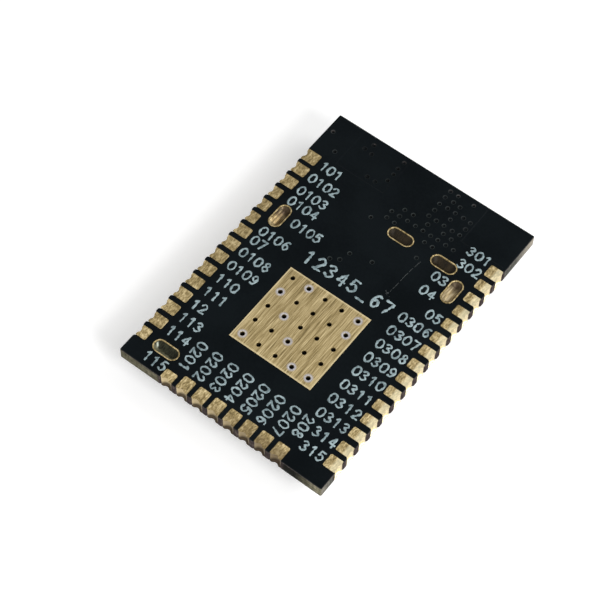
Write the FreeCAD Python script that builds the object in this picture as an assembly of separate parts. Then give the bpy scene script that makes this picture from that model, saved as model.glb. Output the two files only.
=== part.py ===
import FreeCAD, Part
import math
import os

# A small radio module: a black circuit board with plated half-holes along three edges,
# lying with its solder side up on the lid of its shield can.
# Millimetres. X runs across the board, Y along it with the antenna end at +Y, Z up.
# The origin is under the middle of the board, on the surface that the can rests on.

Vector = FreeCAD.Vector
UP = Vector(0, 0, 1)

# Board
BOARD_WIDTH = 12.90
BOARD_LENGTH = 18.80
BOARD_THICKNESS = 0.80
LAND_THICKNESS = 0.04
PLATING = 0.035

# Plated half-holes: their drill centres lie just outside the cut edge. The board was cut out a
# little to the left of its drilled pattern, so that the left half-holes are the deepest
CONTACT_PITCH = 1.00
END_CONTACTS = 8
FIRST_CONTACT_INSET = 3.30
LEAST_LAST_CONTACT_INSET = 1.40
END_ROW_SHIFT = 0.06
DRILL_RADIUS = 0.36
DRILL_OUTSET = 0.08
CUT_SHIFT = 0.05
TOOTH_ROUNDING = 0.12
TOOTH_FLAT = 0.04

# Small rounds are drawn with chords that stay this near to the true circle. The many little holes
# and dimples have a set number of chords
CHORD_ERROR = 0.01
VIA_CHORDS = 8
DIMPLE_CHORDS = 6

# Contact lands. Special contacts are listed by number, and -1 is the last of a row
LEFT_LAND_WIDTH = 0.64
RIGHT_LAND_WIDTH = 0.58
END_LAND_WIDTH = 0.68
GROUND_LAND_WIDTH = 0.73
LEFT_LAND_LENGTH = 0.93
RIGHT_LAND_LENGTH = 0.76
END_LAND_LENGTH = 0.82
LAND_SHORTENING = 0.24
LAND_CORNER = 0.06
SHORT_LEFT_CONTACTS = (4, 5, 6, -1)
SHORT_END_CONTACTS = (1,)
GROUND_LEFT_CONTACTS = (1,)
GROUND_RIGHT_CONTACTS = (1, -1)

# Ground pad under the chip, with its field of plated vias
GROUND_PAD_SIDE = 5.22
GROUND_PAD_SHIFT = 0.06
GROUND_PAD_FROM_FAR_END = 6.67
THERMAL_VIA_COUNT = 5
THERMAL_VIA_PITCH = 1.06
THERMAL_VIA_RADIUS = 0.13

# Shield can, folded from one sheet, with a tab in each oval slot of the board
SHIELD_HEIGHT = 1.56
SHIELD_GAUGE = 0.15
SHIELD_BEND = 0.30
CORNER_RELIEF = 0.22
SLOT_INSET_SIDE = 1.48
SLOT_INSET_ANTENNA_END = 4.45
SLOT_INSET_FAR_END = 1.40
TAB_OUTWARD_OFFSET = 0.12
TAB_LENGTH = 0.90
TAB_CORNER = 0.18
TAB_DEPTH_BELOW_BOARD_FACE = 0.25
LEFT_TAB_FROM_ANTENNA_END = 7.34
RIGHT_TAB_FROM_ANTENNA_END = 5.56
ANTENNA_END_TABS_FROM_RIGHT = (5.58, 2.79)
FAR_END_TAB_FROM_LEFT = 1.92

# Plated oval slots
SLOT_END_PLAY = 0.25
SLOT_OPENING_WIDTH = 0.58
SLOT_RIM = 0.10

# Small tented vias: shallow dimples in the solder mask
DIMPLE_RADIUS = 0.13
DIMPLE_FLOOR_RADIUS = 0.06
DIMPLE_DEPTH = 0.06
STITCH_PITCH = 0.50
RECEPTACLE_FIELD = ("oo.o.", "ooo..", "ooooo", "o.o.o", "ooooo")
SLOT_FIELD = (".oo.o.oo.", "ooooooooo", "oo...oo..")
SLOT_FIELD_START = (-1.32, 1.54)
ANTENNA_FIELD = ("o", "o", "o", "o")
ANTENNA_FIELD_START = (1.30, 0.80)
VIAS_FROM_LEFT_AND_ANTENNA_END = (
    (0.41, 1.18), (1.25, 2.20), (2.69, 0.53), (2.43, 1.03), (2.93, 1.08), (3.65, 2.42), (4.14, 2.42))
VIAS_FROM_RIGHT_AND_ANTENNA_END = ((7.57, 4.42), (4.14, 5.00))
VIAS_FROM_RIGHT_AND_PAD_CENTRE = ((5.85, 5.48), (7.08, 5.22), (7.27, 4.59), (7.73, 4.28))

# Chip on the covered side, opposite the ground pad
CHIP_SIDE = 7.00
CHIP_HEIGHT = 0.94
CHIP_STANDOFF = 0.05
CHIP_LANDS_PER_SIDE = 12
CHIP_LAND_PITCH = 0.50
CHIP_LAND_WIDTH = 0.25
CHIP_LAND_LENGTH = 0.40
CHIP_LAND_INSET = 0.10
CHIP_MARK_RADIUS = 0.25
CHIP_MARK_DEPTH = 0.05
CHIP_MARK_INSET = 0.70

# Chip components: a ceramic body with wrapped metal ends
COMPONENT_LENGTH = 0.60
COMPONENT_WIDTH = 0.30
COMPONENT_HEIGHT = 0.30
COMPONENT_END_LENGTH = 0.15
COMPONENT_END_STEP = 0.01
COMPONENT_CLEARANCE = 0.25
CAPACITORS = 4
RESISTOR_HEIGHT = 0.23
INDUCTOR_HEIGHT = 0.33

# Ceramic antenna
ANTENNA_LENGTH = 3.20
ANTENNA_WIDTH = 1.60
ANTENNA_HEIGHT = 1.10
ANTENNA_END_LENGTH = 0.40
ANTENNA_END_THICKNESS = 0.03
ANTENNA_EDGE_INSET = 1.25
ANTENNA_FROM_LEFT = 3.34

# Coaxial antenna receptacle
RECEPTACLE_SIDE = 2.60
RECEPTACLE_BASE_HEIGHT = 0.35
RECEPTACLE_CORNER = 0.25
RECEPTACLE_HEIGHT = 1.25
RECEPTACLE_FROM_RIGHT = 4.17
RECEPTACLE_EDGE_INSET = 1.43
RING_RADIUS = 1.00
RING_WALL = 0.14
RING_GROOVE_DEPTH = 0.05
RING_GROOVE_HEIGHT = 0.25
RING_GROOVE_ABOVE_BASE = 0.20
SHELL_STRAP_WIDTH = 1.20
SHELL_STRAP_THICKNESS = 0.10
SHELL_FOOT_LENGTH = 0.15
PIN_RADIUS = 0.25
PIN_CHAMFER = 0.10
PIN_TIP_BELOW_RING = 0.25
PIN_TAIL_WIDTH = 0.60
PIN_TAIL_THICKNESS = 0.12
PIN_TAIL_REACH = 0.25

# Levels, from the resting surface up
board_bottom = SHIELD_HEIGHT + LAND_THICKNESS
board_top = board_bottom + BOARD_THICKNESS
land_top = board_top + LAND_THICKNESS
copper_height = land_top - SHIELD_HEIGHT

half_width = BOARD_WIDTH / 2
half_length = BOARD_LENGTH / 2

# Centres that follow the board's edges
pad_x = GROUND_PAD_SHIFT
pad_y = -half_length + GROUND_PAD_FROM_FAR_END
antenna_x = -half_width + ANTENNA_FROM_LEFT
antenna_y = half_length - ANTENNA_EDGE_INSET
receptacle_x = half_width - RECEPTACLE_FROM_RIGHT
receptacle_y = half_length - RECEPTACLE_EDGE_INSET

# Centre lines of the slots, and the can's outer faces that follow them
slot_x = half_width - SLOT_INSET_SIDE
antenna_end_slot_y = half_length - SLOT_INSET_ANTENNA_END
far_end_slot_y = -half_length + SLOT_INSET_FAR_END
shield_reach = TAB_OUTWARD_OFFSET + SHIELD_GAUGE / 2
slot_opening_length = TAB_LENGTH + 2 * SLOT_END_PLAY


def box(x_range, y_range, z_range):
    """A box between two limits on each axis."""
    size = [high - low for low, high in (x_range, y_range, z_range)]
    return Part.makeBox(*size, Vector(x_range[0], y_range[0], z_range[0]))


def centred_box(x, y, width, length, z_range):
    """A box centred on x and y."""
    return box((x - width / 2, x + width / 2), (y - length / 2, y + length / 2), z_range)


def fillet_where(shape, radius, wanted):
    """Round the edges whose middle point passes the test."""
    edges = [edge for edge in shape.Edges if wanted(edge.CenterOfMass, edge)]
    return shape.makeFillet(radius, edges)


def is_upright(edge):
    """True for a straight edge along Z."""
    first, last = edge.Vertexes[0].Point, edge.Vertexes[-1].Point
    return abs(first.z - last.z) > 0.9 * edge.Length


class EdgeFrame:
    """Places along one board edge: s runs along the edge and d runs into the board."""

    def __init__(self, start, along, inward, drill_outset):
        self.start = start
        self.along = along
        self.inward = inward
        self.drill_outset = drill_outset
        # The rounding of the teeth is limited by what the drilled holes leave between them
        half_gap = (CONTACT_PITCH - TOOTH_FLAT) / 2
        room = half_gap ** 2 - DRILL_RADIUS ** 2 + drill_outset ** 2
        self.tooth_rounding = min(TOOTH_ROUNDING, room / (2 * (DRILL_RADIUS - drill_outset)))
        between_centres = DRILL_RADIUS + self.tooth_rounding
        self.rounding_reach = math.sqrt(between_centres ** 2 - (drill_outset + self.tooth_rounding) ** 2)
        self.shoulder_angle = math.asin(self.rounding_reach / between_centres)

    def point(self, s, d, z=0.0):
        return self.start + self.along * s + self.inward * d + UP * z

    def slab(self, s_range, d_range, z_range):
        """A box given by its limits along the edge, into the board and in height."""
        corner = self.point(s_range[0], d_range[0], z_range[0])
        opposite = self.point(s_range[1], d_range[1], z_range[1])
        low = [min(a, b) for a, b in zip(corner, opposite)]
        high = [max(a, b) for a, b in zip(corner, opposite)]
        return box(*zip(low, high))


left_edge = EdgeFrame(
    Vector(-half_width, half_length, 0), Vector(0, -1, 0), Vector(1, 0, 0), DRILL_OUTSET - CUT_SHIFT)
end_edge = EdgeFrame(
    Vector(-half_width, -half_length, 0), Vector(1, 0, 0), Vector(0, 1, 0), DRILL_OUTSET)
right_edge = EdgeFrame(
    Vector(half_width, -half_length, 0), Vector(0, 1, 0), Vector(-1, 0, 0), DRILL_OUTSET + CUT_SHIFT)


def side_places():
    """Distances of the side contacts from the antenna end."""
    row_room = BOARD_LENGTH - FIRST_CONTACT_INSET - LEAST_LAST_CONTACT_INSET
    count = int(row_room / CONTACT_PITCH) + 1
    return [FIRST_CONTACT_INSET + CONTACT_PITCH * i for i in range(count)]


def end_places():
    """Distances of the end contacts from the left edge."""
    first = half_width + END_ROW_SHIFT - CONTACT_PITCH * (END_CONTACTS - 1) / 2
    return [first + CONTACT_PITCH * i for i in range(END_CONTACTS)]


def angles(first, last, radius):
    """Angles from first to last, in as few even steps as the chord error allows."""
    widest_chord = 2 * math.acos(1 - CHORD_ERROR / radius)
    chords = math.ceil(abs(last - first) / widest_chord)
    return [first + (last - first) * i / chords for i in range(chords + 1)]


def drill_points(frame, s, radius, z=0.0):
    """Points on a half-hole's wall at one radius, from one tooth shoulder to the other."""
    return [
        frame.point(s + radius * math.sin(a), radius * math.cos(a) - frame.drill_outset, z)
        for a in angles(-frame.shoulder_angle, frame.shoulder_angle, radius)
    ]


def tooth_points(frame, s, side):
    """Points on the rounded tooth corner beside a half-hole, from the cut edge to the shoulder."""
    return [
        frame.point(
            s + side * (frame.rounding_reach - frame.tooth_rounding * math.sin(a)),
            frame.tooth_rounding * (1 - math.cos(a)))
        for a in angles(0, frame.shoulder_angle, frame.tooth_rounding)
    ]


def castellated_edge(frame, places):
    """The outline of one board edge from its start, with a notch at each place."""
    points = [frame.point(0, 0)]
    for s in places:
        points += tooth_points(frame, s, -1)
        points += drill_points(frame, s, DRILL_RADIUS)[1:-1]
        points += reversed(tooth_points(frame, s, 1))
    return points


def face_of(points):
    """A flat face with straight sides through the points."""
    return Part.Face(Part.makePolygon(list(points) + [points[0]]))


def board_outline():
    """The face of the board with all its notches."""
    right_places = [BOARD_LENGTH - s for s in reversed(side_places())]
    points = castellated_edge(end_edge, end_places())
    points += castellated_edge(right_edge, right_places)
    points.append(right_edge.point(BOARD_LENGTH, 0))
    points += castellated_edge(left_edge, side_places())
    return face_of(points)


outline_face = board_outline()


def prism(face, z_range):
    """A face that lies at height zero, as a solid between two heights."""
    solid = face.extrude(UP * (z_range[1] - z_range[0]))
    solid.translate(UP * z_range[0])
    return solid


def polygon_points(x, y, radius, chords, z=0.0):
    """The corners of a regular polygon."""
    turn = 2 * math.pi / chords
    return [
        Vector(x + radius * math.cos(turn * i), y + radius * math.sin(turn * i), z) for i in range(chords)
    ]


def small_hole(x, y, radius, z_range):
    """The solid form of a small round hole."""
    return prism(face_of(polygon_points(x, y, radius, VIA_CHORDS)), z_range)


top_copper_blank = prism(outline_face, (board_top, land_top))
bottom_copper_blank = prism(outline_face, (SHIELD_HEIGHT, board_bottom))


def stadium(x, y, length, width, along_x, z_range):
    """An upright solid with a straight-sided, round-ended section."""
    radius = width / 2
    straight = length / 2 - radius
    points = []
    for side, first in ((1, -math.pi / 2), (-1, math.pi / 2)):
        for a in angles(first, first + math.pi, radius):
            u = side * straight + radius * math.cos(a)
            v = radius * math.sin(a)
            points.append(Vector(x + u, y + v, 0) if along_x else Vector(x - v, y + u, 0))
    return prism(face_of(points), z_range)


def slots():
    """Name, centre, direction and outward side of each oval slot."""
    left_y = half_length - LEFT_TAB_FROM_ANTENNA_END
    right_y = half_length - RIGHT_TAB_FROM_ANTENNA_END
    far_end_x = -half_width + FAR_END_TAB_FROM_LEFT
    found = [
        ("left", -slot_x, left_y, False, Vector(-1, 0, 0)),
        ("right", slot_x, right_y, False, Vector(1, 0, 0)),
        ("far_end", far_end_x, far_end_slot_y, True, Vector(0, -1, 0)),
    ]
    for number, from_right in enumerate(ANTENNA_END_TABS_FROM_RIGHT, 1):
        x = half_width - from_right
        found.append(("antenna_end_%d" % number, x, antenna_end_slot_y, True, Vector(0, 1, 0)))
    return found


def thermal_via_places():
    """Centres of the vias in the ground pad."""
    steps = [(i - (THERMAL_VIA_COUNT - 1) / 2) * THERMAL_VIA_PITCH for i in range(THERMAL_VIA_COUNT)]
    return [(pad_x + dx, pad_y + dy) for dy in reversed(steps) for dx in steps]


def mapped_places(start_x, start_y, rows):
    """Centres on the stitching grid, one for each letter o in the rows."""
    return [
        (start_x + STITCH_PITCH * column, start_y - STITCH_PITCH * row)
        for row, text in enumerate(rows)
        for column, mark in enumerate(text)
        if mark == "o"
    ]


def small_via_places():
    """Centres of the tented vias round the receptacle, the slots and the antenna."""
    field_reach = STITCH_PITCH * (len(RECEPTACLE_FIELD) - 1) / 2
    places = mapped_places(receptacle_x - field_reach, receptacle_y + field_reach, RECEPTACLE_FIELD)
    slot_x_1 = half_width - ANTENNA_END_TABS_FROM_RIGHT[0]
    start_x, start_y = SLOT_FIELD_START
    places += mapped_places(slot_x_1 + start_x, antenna_end_slot_y + start_y, SLOT_FIELD)
    start_x, start_y = ANTENNA_FIELD_START
    places += mapped_places(antenna_x + start_x, antenna_y + start_y, ANTENNA_FIELD)
    places += [(-half_width + x, half_length - y) for x, y in VIAS_FROM_LEFT_AND_ANTENNA_END]
    places += [(half_width - x, half_length - y) for x, y in VIAS_FROM_RIGHT_AND_ANTENNA_END]
    places += [(half_width - x, pad_y + y) for x, y in VIAS_FROM_RIGHT_AND_PAD_CENTRE]
    return places


def dimple(x, y):
    """The hollow that the mask leaves over a small via."""
    rings = [
        Part.makePolygon(ring + ring[:1])
        for ring in (
            polygon_points(x, y, DIMPLE_FLOOR_RADIUS, DIMPLE_CHORDS, board_top - DIMPLE_DEPTH),
            polygon_points(x, y, DIMPLE_RADIUS, DIMPLE_CHORDS, board_top),
        )
    ]
    return Part.makeLoft(rings, True, True)


def make_board():
    """The laminate with its solder mask: notched edges, slots, via holes and dimples."""
    through = (board_bottom, board_top)
    board = prism(outline_face, through)
    tools = []
    for name, x, y, along_x, outward in slots():
        length = slot_opening_length + 2 * PLATING
        width = SLOT_OPENING_WIDTH + 2 * PLATING
        tools.append(stadium(x, y, length, width, along_x, through))
    tools += [small_hole(x, y, THERMAL_VIA_RADIUS + PLATING, through) for x, y in thermal_via_places()]
    tools += [dimple(x, y) for x, y in small_via_places()]
    return board.cut(tools)


def plated_wall(frame, s, width):
    """The plating in one half-hole: a slice of a tube, no wider than the land."""
    outer = drill_points(frame, s, DRILL_RADIUS)
    inner = drill_points(frame, s, DRILL_RADIUS - PLATING)
    height = (SHIELD_HEIGHT, land_top)
    land_strip = frame.slab((s - width / 2, s + width / 2), (-DRILL_RADIUS, DRILL_RADIUS), height)
    return prism(face_of(outer + inner[::-1]), height).common(land_strip)


def land(frame, s, width, length, z_range):
    """A flat land from the cut edge inwards, with its inner corners taken off."""
    half = width / 2
    points = [
        frame.point(s - half, 0), frame.point(s + half, 0),
        frame.point(s + half, length - LAND_CORNER), frame.point(s + half - LAND_CORNER, length),
        frame.point(s - half + LAND_CORNER, length), frame.point(s - half, length - LAND_CORNER),
    ]
    return prism(face_of(points), z_range)


def make_contact(frame, s, width, length):
    """A land on each face of the board, joined by the plated wall of the half-hole."""
    top = land(frame, s, width, length, (board_top, land_top)).common(top_copper_blank)
    bottom = land(frame, s, width, length, (SHIELD_HEIGHT, board_bottom)).common(bottom_copper_blank)
    return plated_wall(frame, s, width).multiFuse([top, bottom]).removeSplitter()


def is_listed(number, numbers, count):
    """True where a contact's number is listed, counted from either end of its row."""
    return number in numbers or number - count - 1 in numbers


def make_contacts():
    """All the contacts, counted from the antenna end down each side and across the end."""
    contacts = {}
    count = len(side_places())
    for number, s in enumerate(side_places(), 1):
        width = GROUND_LAND_WIDTH if is_listed(number, GROUND_LEFT_CONTACTS, count) else LEFT_LAND_WIDTH
        shortening = LAND_SHORTENING if is_listed(number, SHORT_LEFT_CONTACTS, count) else 0
        length = LEFT_LAND_LENGTH - shortening
        contacts["contact_left_%02d" % number] = make_contact(left_edge, s, width, length)
        width = GROUND_LAND_WIDTH if is_listed(number, GROUND_RIGHT_CONTACTS, count) else RIGHT_LAND_WIDTH
        place = BOARD_LENGTH - s
        contacts["contact_right_%02d" % number] = make_contact(right_edge, place, width, RIGHT_LAND_LENGTH)
    for number, s in enumerate(end_places(), 1):
        shortening = LAND_SHORTENING if is_listed(number, SHORT_END_CONTACTS, END_CONTACTS) else 0
        length = END_LAND_LENGTH - shortening
        contacts["contact_end_%02d" % number] = make_contact(end_edge, s, END_LAND_WIDTH, length)
    return contacts


def make_ground_pad():
    """A square plate on each face of the board, joined by plated vias."""
    plates = [
        centred_box(pad_x, pad_y, GROUND_PAD_SIDE, GROUND_PAD_SIDE, z_range)
        for z_range in ((board_top, land_top), (SHIELD_HEIGHT, board_bottom))
    ]
    places = thermal_via_places()
    through = (board_bottom, board_top)
    barrels = [small_hole(x, y, THERMAL_VIA_RADIUS + PLATING, through) for x, y in places]
    holes = [small_hole(x, y, THERMAL_VIA_RADIUS, (SHIELD_HEIGHT, land_top)) for x, y in places]
    return plates[0].multiFuse(plates[1:] + barrels).cut(holes).removeSplitter()


def make_slot_lining(x, y, along_x):
    """The plated wall of an oval slot with a thin rim on each face of the board."""
    plated_length = slot_opening_length + 2 * PLATING
    plated_width = SLOT_OPENING_WIDTH + 2 * PLATING
    rim_length = slot_opening_length + 2 * SLOT_RIM
    rim_width = SLOT_OPENING_WIDTH + 2 * SLOT_RIM
    wall = stadium(x, y, plated_length, plated_width, along_x, (board_bottom, board_top))
    rims = [
        stadium(x, y, rim_length, rim_width, along_x, z_range)
        for z_range in ((board_top, land_top), (SHIELD_HEIGHT, board_bottom))
    ]
    opening = stadium(x, y, slot_opening_length, SLOT_OPENING_WIDTH, along_x, (SHIELD_HEIGHT, land_top))
    return wall.multiFuse(rims).cut(opening).removeSplitter()


def make_shield_tab(x, y, along_x, outward):
    """One tab, standing from the rim of the can up into its slot."""
    size = (TAB_LENGTH, SHIELD_GAUGE) if along_x else (SHIELD_GAUGE, TAB_LENGTH)
    tip = board_top - TAB_DEPTH_BELOW_BOARD_FACE
    centre = Vector(x, y, 0) + outward * TAB_OUTWARD_OFFSET
    foot = SHIELD_HEIGHT - SHIELD_BEND
    tab = centred_box(centre.x, centre.y, *size, (foot, tip))
    return fillet_where(
        tab, TAB_CORNER,
        lambda middle, edge: abs(middle.z - tip) < SHIELD_GAUGE / 10 and edge.Length < 2 * SHIELD_GAUGE,
    )


def make_shield_can():
    """A lid with four folded walls, relieved at the corners, and five tabs."""
    x_limits = (-slot_x - shield_reach, slot_x + shield_reach)
    y_limits = (far_end_slot_y - shield_reach, antenna_end_slot_y + shield_reach)
    outside = box(x_limits, y_limits, (0, SHIELD_HEIGHT))
    outside = fillet_where(outside, SHIELD_BEND, lambda middle, edge: middle.z < SHIELD_GAUGE / 10)
    inner_x = (x_limits[0] + SHIELD_GAUGE, x_limits[1] - SHIELD_GAUGE)
    inner_y = (y_limits[0] + SHIELD_GAUGE, y_limits[1] - SHIELD_GAUGE)
    inside = box(inner_x, inner_y, (SHIELD_GAUGE, SHIELD_HEIGHT))
    inside = fillet_where(
        inside, SHIELD_BEND - SHIELD_GAUGE, lambda middle, edge: middle.z < 1.1 * SHIELD_GAUGE
    )
    reliefs = [
        centred_box(x, y, 2 * CORNER_RELIEF, 2 * CORNER_RELIEF, (0, SHIELD_HEIGHT))
        for x in x_limits for y in y_limits
    ]
    can = outside.cut([inside] + reliefs)
    tabs = [make_shield_tab(x, y, along_x, outward) for name, x, y, along_x, outward in slots()]
    return can.multiFuse(tabs).removeSplitter()


chip_top = board_bottom - LAND_THICKNESS - CHIP_STANDOFF
chip_bottom = chip_top - CHIP_HEIGHT
chip_antenna_edge = pad_y + CHIP_SIDE / 2


def make_chip():
    """The moulded body of the chip, with its corner mark on the face that looks at the lid."""
    body = centred_box(pad_x, pad_y, CHIP_SIDE, CHIP_SIDE, (chip_bottom, chip_top))
    reach = CHIP_SIDE / 2 - CHIP_MARK_INSET
    mark_range = (chip_bottom, chip_bottom + CHIP_MARK_DEPTH)
    return body.cut(small_hole(pad_x - reach, pad_y + reach, CHIP_MARK_RADIUS, mark_range))


def make_chip_lands():
    """The soldered lands along the chip's four sides, and the square one in the middle."""
    row_start = -CHIP_LAND_PITCH * (CHIP_LANDS_PER_SIDE - 1) / 2
    row_place = CHIP_SIDE / 2 - CHIP_LAND_INSET - CHIP_LAND_LENGTH / 2
    height = (chip_top, board_bottom)
    lands = []
    for i in range(CHIP_LANDS_PER_SIDE):
        along = row_start + CHIP_LAND_PITCH * i
        for side in (-row_place, row_place):
            lands.append(centred_box(
                pad_x + along, pad_y + side, CHIP_LAND_WIDTH, CHIP_LAND_LENGTH, height))
            lands.append(centred_box(
                pad_x + side, pad_y + along, CHIP_LAND_LENGTH, CHIP_LAND_WIDTH, height))
    middle = centred_box(
        pad_x, pad_y, GROUND_PAD_SIDE, GROUND_PAD_SIDE, (chip_top, SHIELD_HEIGHT))
    return Part.makeCompound(lands + [middle])


def make_component(x, y, height):
    """A small ceramic component lying across the board, with metal ends."""
    z_range = (board_bottom - height, board_bottom)
    waist = (z_range[0] + COMPONENT_END_STEP, board_bottom - COMPONENT_END_STEP)
    body = centred_box(x, y, COMPONENT_LENGTH, COMPONENT_WIDTH - 2 * COMPONENT_END_STEP, waist)
    reach = (COMPONENT_LENGTH - COMPONENT_END_LENGTH) / 2
    ends = [
        centred_box(x + side, y, COMPONENT_END_LENGTH, COMPONENT_WIDTH, z_range)
        for side in (-reach, reach)
    ]
    return body.multiFuse(ends).removeSplitter()


def make_components():
    """One row between the chip and the can's wall: supply capacitors, then the radio parts."""
    kinds = [("capacitor_%d" % number, COMPONENT_HEIGHT) for number in range(1, CAPACITORS + 1)]
    kinds += [("inductor", INDUCTOR_HEIGHT), ("resistor", RESISTOR_HEIGHT)]
    row_room = 2 * (slot_x - SLOT_OPENING_WIDTH / 2 - SLOT_RIM)
    spacing = row_room / len(kinds)
    y = chip_antenna_edge + COMPONENT_CLEARANCE + COMPONENT_WIDTH / 2
    return {
        name: make_component((i - (len(kinds) - 1) / 2) * spacing, y, height)
        for i, (name, height) in enumerate(kinds)
    }


antenna_height_range = (board_bottom - ANTENNA_HEIGHT, board_bottom)


def antenna_end_sleeves():
    """The space that the antenna's two metal ends take up, with its full section."""
    reach = (ANTENNA_LENGTH - ANTENNA_END_LENGTH) / 2
    return [
        centred_box(antenna_x + side, antenna_y, ANTENNA_END_LENGTH, ANTENNA_WIDTH, antenna_height_range)
        for side in (-reach, reach)
    ]


def make_antenna_block():
    """The ceramic block, thinner by the metal that wraps it."""
    length = ANTENNA_LENGTH - 2 * ANTENNA_END_THICKNESS
    width = ANTENNA_WIDTH - 2 * ANTENNA_END_THICKNESS
    z_range = (antenna_height_range[0] + ANTENNA_END_THICKNESS, board_bottom - ANTENNA_END_THICKNESS)
    return centred_box(antenna_x, antenna_y, length, width, z_range)


def make_antenna_ends(block):
    """The two metal caps, which are what the block is soldered down by."""
    return Part.makeCompound([sleeve.cut(block) for sleeve in antenna_end_sleeves()])


ring_base = board_bottom - RECEPTACLE_BASE_HEIGHT
ring_tip = board_bottom - RECEPTACLE_HEIGHT
receptacle_centre = Vector(receptacle_x, receptacle_y, 0)


def disc(radius, z_range):
    """A round solid on the receptacle's axis."""
    base = receptacle_centre + UP * z_range[0]
    return Part.makeCylinder(radius, z_range[1] - z_range[0], base)


def make_receptacle_shell():
    """The outer contact: a grooved ring with a strap and a soldered foot on two sides."""
    ring = disc(RING_RADIUS, (ring_tip, ring_base))
    groove_top = ring_base - RING_GROOVE_ABOVE_BASE
    groove = disc(RING_RADIUS, (groove_top - RING_GROOVE_HEIGHT, groove_top))
    groove = groove.cut(disc(RING_RADIUS - RING_GROOVE_DEPTH, (ring_tip, ring_base)))
    strap_range = (ring_base - SHELL_STRAP_THICKNESS, ring_base)
    leg_inside = RECEPTACLE_SIDE / 2
    leg_outside = leg_inside + SHELL_STRAP_THICKNESS
    foot_end = leg_outside + SHELL_FOOT_LENGTH
    y_limits = (receptacle_y - SHELL_STRAP_WIDTH / 2, receptacle_y + SHELL_STRAP_WIDTH / 2)
    pieces = []
    for side in (-1, 1):
        for x_pair, z_range in (
            ((0, leg_outside), strap_range),
            ((leg_inside, leg_outside), (ring_base, board_bottom)),
            ((leg_inside, foot_end), (board_bottom - SHELL_STRAP_THICKNESS, board_bottom)),
        ):
            x_limits = sorted(receptacle_x + side * x for x in x_pair)
            pieces.append(box(x_limits, y_limits, z_range))
    bore = disc(RING_RADIUS - RING_WALL, (ring_tip, ring_base))
    return ring.cut(groove).multiFuse(pieces).cut(bore).removeSplitter()


def make_receptacle_pin():
    """The centre contact, with its tail running out under the base."""
    tip = ring_tip + PIN_TIP_BELOW_RING
    pin = disc(PIN_RADIUS, (tip, board_bottom))
    tip_edges = [edge for edge in pin.Edges if abs(edge.CenterOfMass.z - tip) < PIN_CHAMFER]
    pin = pin.makeChamfer(PIN_CHAMFER, tip_edges)
    reach = RECEPTACLE_SIDE / 2 + PIN_TAIL_REACH
    tail = box(
        (receptacle_x - PIN_TAIL_WIDTH / 2, receptacle_x + PIN_TAIL_WIDTH / 2),
        (receptacle_y - reach, receptacle_y),
        (board_bottom - PIN_TAIL_THICKNESS, board_bottom),
    )
    return pin.fuse(tail).removeSplitter()


def make_receptacle_base(pin):
    """The square insulator with its cut corners, moulded round the centre contact."""
    base = centred_box(
        receptacle_x, receptacle_y, RECEPTACLE_SIDE, RECEPTACLE_SIDE, (ring_base, board_bottom))
    corners = [edge for edge in base.Edges if is_upright(edge)]
    return base.makeChamfer(RECEPTACLE_CORNER, corners).cut(pin)


def build():
    """Every piece by the name of its node."""
    nodes = {"circuit_board": make_board(), "ground_pad": make_ground_pad()}
    nodes.update(make_contacts())
    for name, x, y, along_x, outward in slots():
        nodes["slot_lining_" + name] = make_slot_lining(x, y, along_x)
    nodes["shield_can"] = make_shield_can()
    nodes["chip_body"] = make_chip()
    nodes["chip_lands"] = make_chip_lands()
    nodes.update(make_components())
    nodes["antenna_block"] = make_antenna_block()
    nodes["antenna_ends"] = make_antenna_ends(nodes["antenna_block"])
    nodes["receptacle_shell"] = make_receptacle_shell()
    nodes["receptacle_pin"] = make_receptacle_pin()
    nodes["receptacle_base"] = make_receptacle_base(nodes["receptacle_pin"])
    return nodes


os.makedirs("parts", exist_ok=True)
for node, shape in build().items():
    shape.exportStep("parts/%s.step" % node)
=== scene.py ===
import math
import random
from functools import partial

import bmesh
import bpy
from mathutils import Matrix, Vector, noise
from mathutils.geometry import delaunay_2d_cdt


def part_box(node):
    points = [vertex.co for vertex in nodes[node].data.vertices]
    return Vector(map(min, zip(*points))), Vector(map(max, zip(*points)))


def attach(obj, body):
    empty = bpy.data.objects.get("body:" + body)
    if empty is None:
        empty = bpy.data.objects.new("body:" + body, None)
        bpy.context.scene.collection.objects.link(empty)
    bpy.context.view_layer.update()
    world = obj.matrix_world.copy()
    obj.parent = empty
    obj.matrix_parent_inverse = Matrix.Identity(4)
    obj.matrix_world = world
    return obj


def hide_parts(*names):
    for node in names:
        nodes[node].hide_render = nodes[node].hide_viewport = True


# A small black radio module that lies on the lid of its shield can, solder side up.
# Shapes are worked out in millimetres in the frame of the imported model, and scaled when they are made.

MM = 0.001
LEVEL_COSINE = 0.999
MERGE_DISTANCE = 1e-8
COARSE_MERGE_DISTANCE = 1e-7
SLIVER_LENGTH = 1e-9
FILL_TOLERANCE = 1e-7
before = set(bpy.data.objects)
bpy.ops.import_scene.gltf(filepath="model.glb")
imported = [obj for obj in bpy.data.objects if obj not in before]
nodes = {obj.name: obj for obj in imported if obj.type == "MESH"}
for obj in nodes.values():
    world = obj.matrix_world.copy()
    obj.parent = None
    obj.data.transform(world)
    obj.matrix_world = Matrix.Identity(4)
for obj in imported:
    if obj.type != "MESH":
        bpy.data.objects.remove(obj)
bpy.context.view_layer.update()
random.seed(11)


def node_box(name):
    """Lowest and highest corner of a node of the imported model, in millimetres."""
    low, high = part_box(name)
    return low / MM, high / MM


def node_centre(name):
    """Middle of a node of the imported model, in millimetres."""
    low, high = node_box(name)
    return (low + high) / 2


def numbered(prefix):
    """The nodes whose names start with the prefix, in order."""
    return sorted(name for name in nodes if name.startswith(prefix))


# Levels and edges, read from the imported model
board_low, board_high = node_box("circuit_board")
half_width, half_length = board_high.x, board_high.y
board_bottom, board_top = board_low.z, board_high.z
land_bottom, land_top = (corner.z for corner in node_box("ground_pad"))

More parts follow.
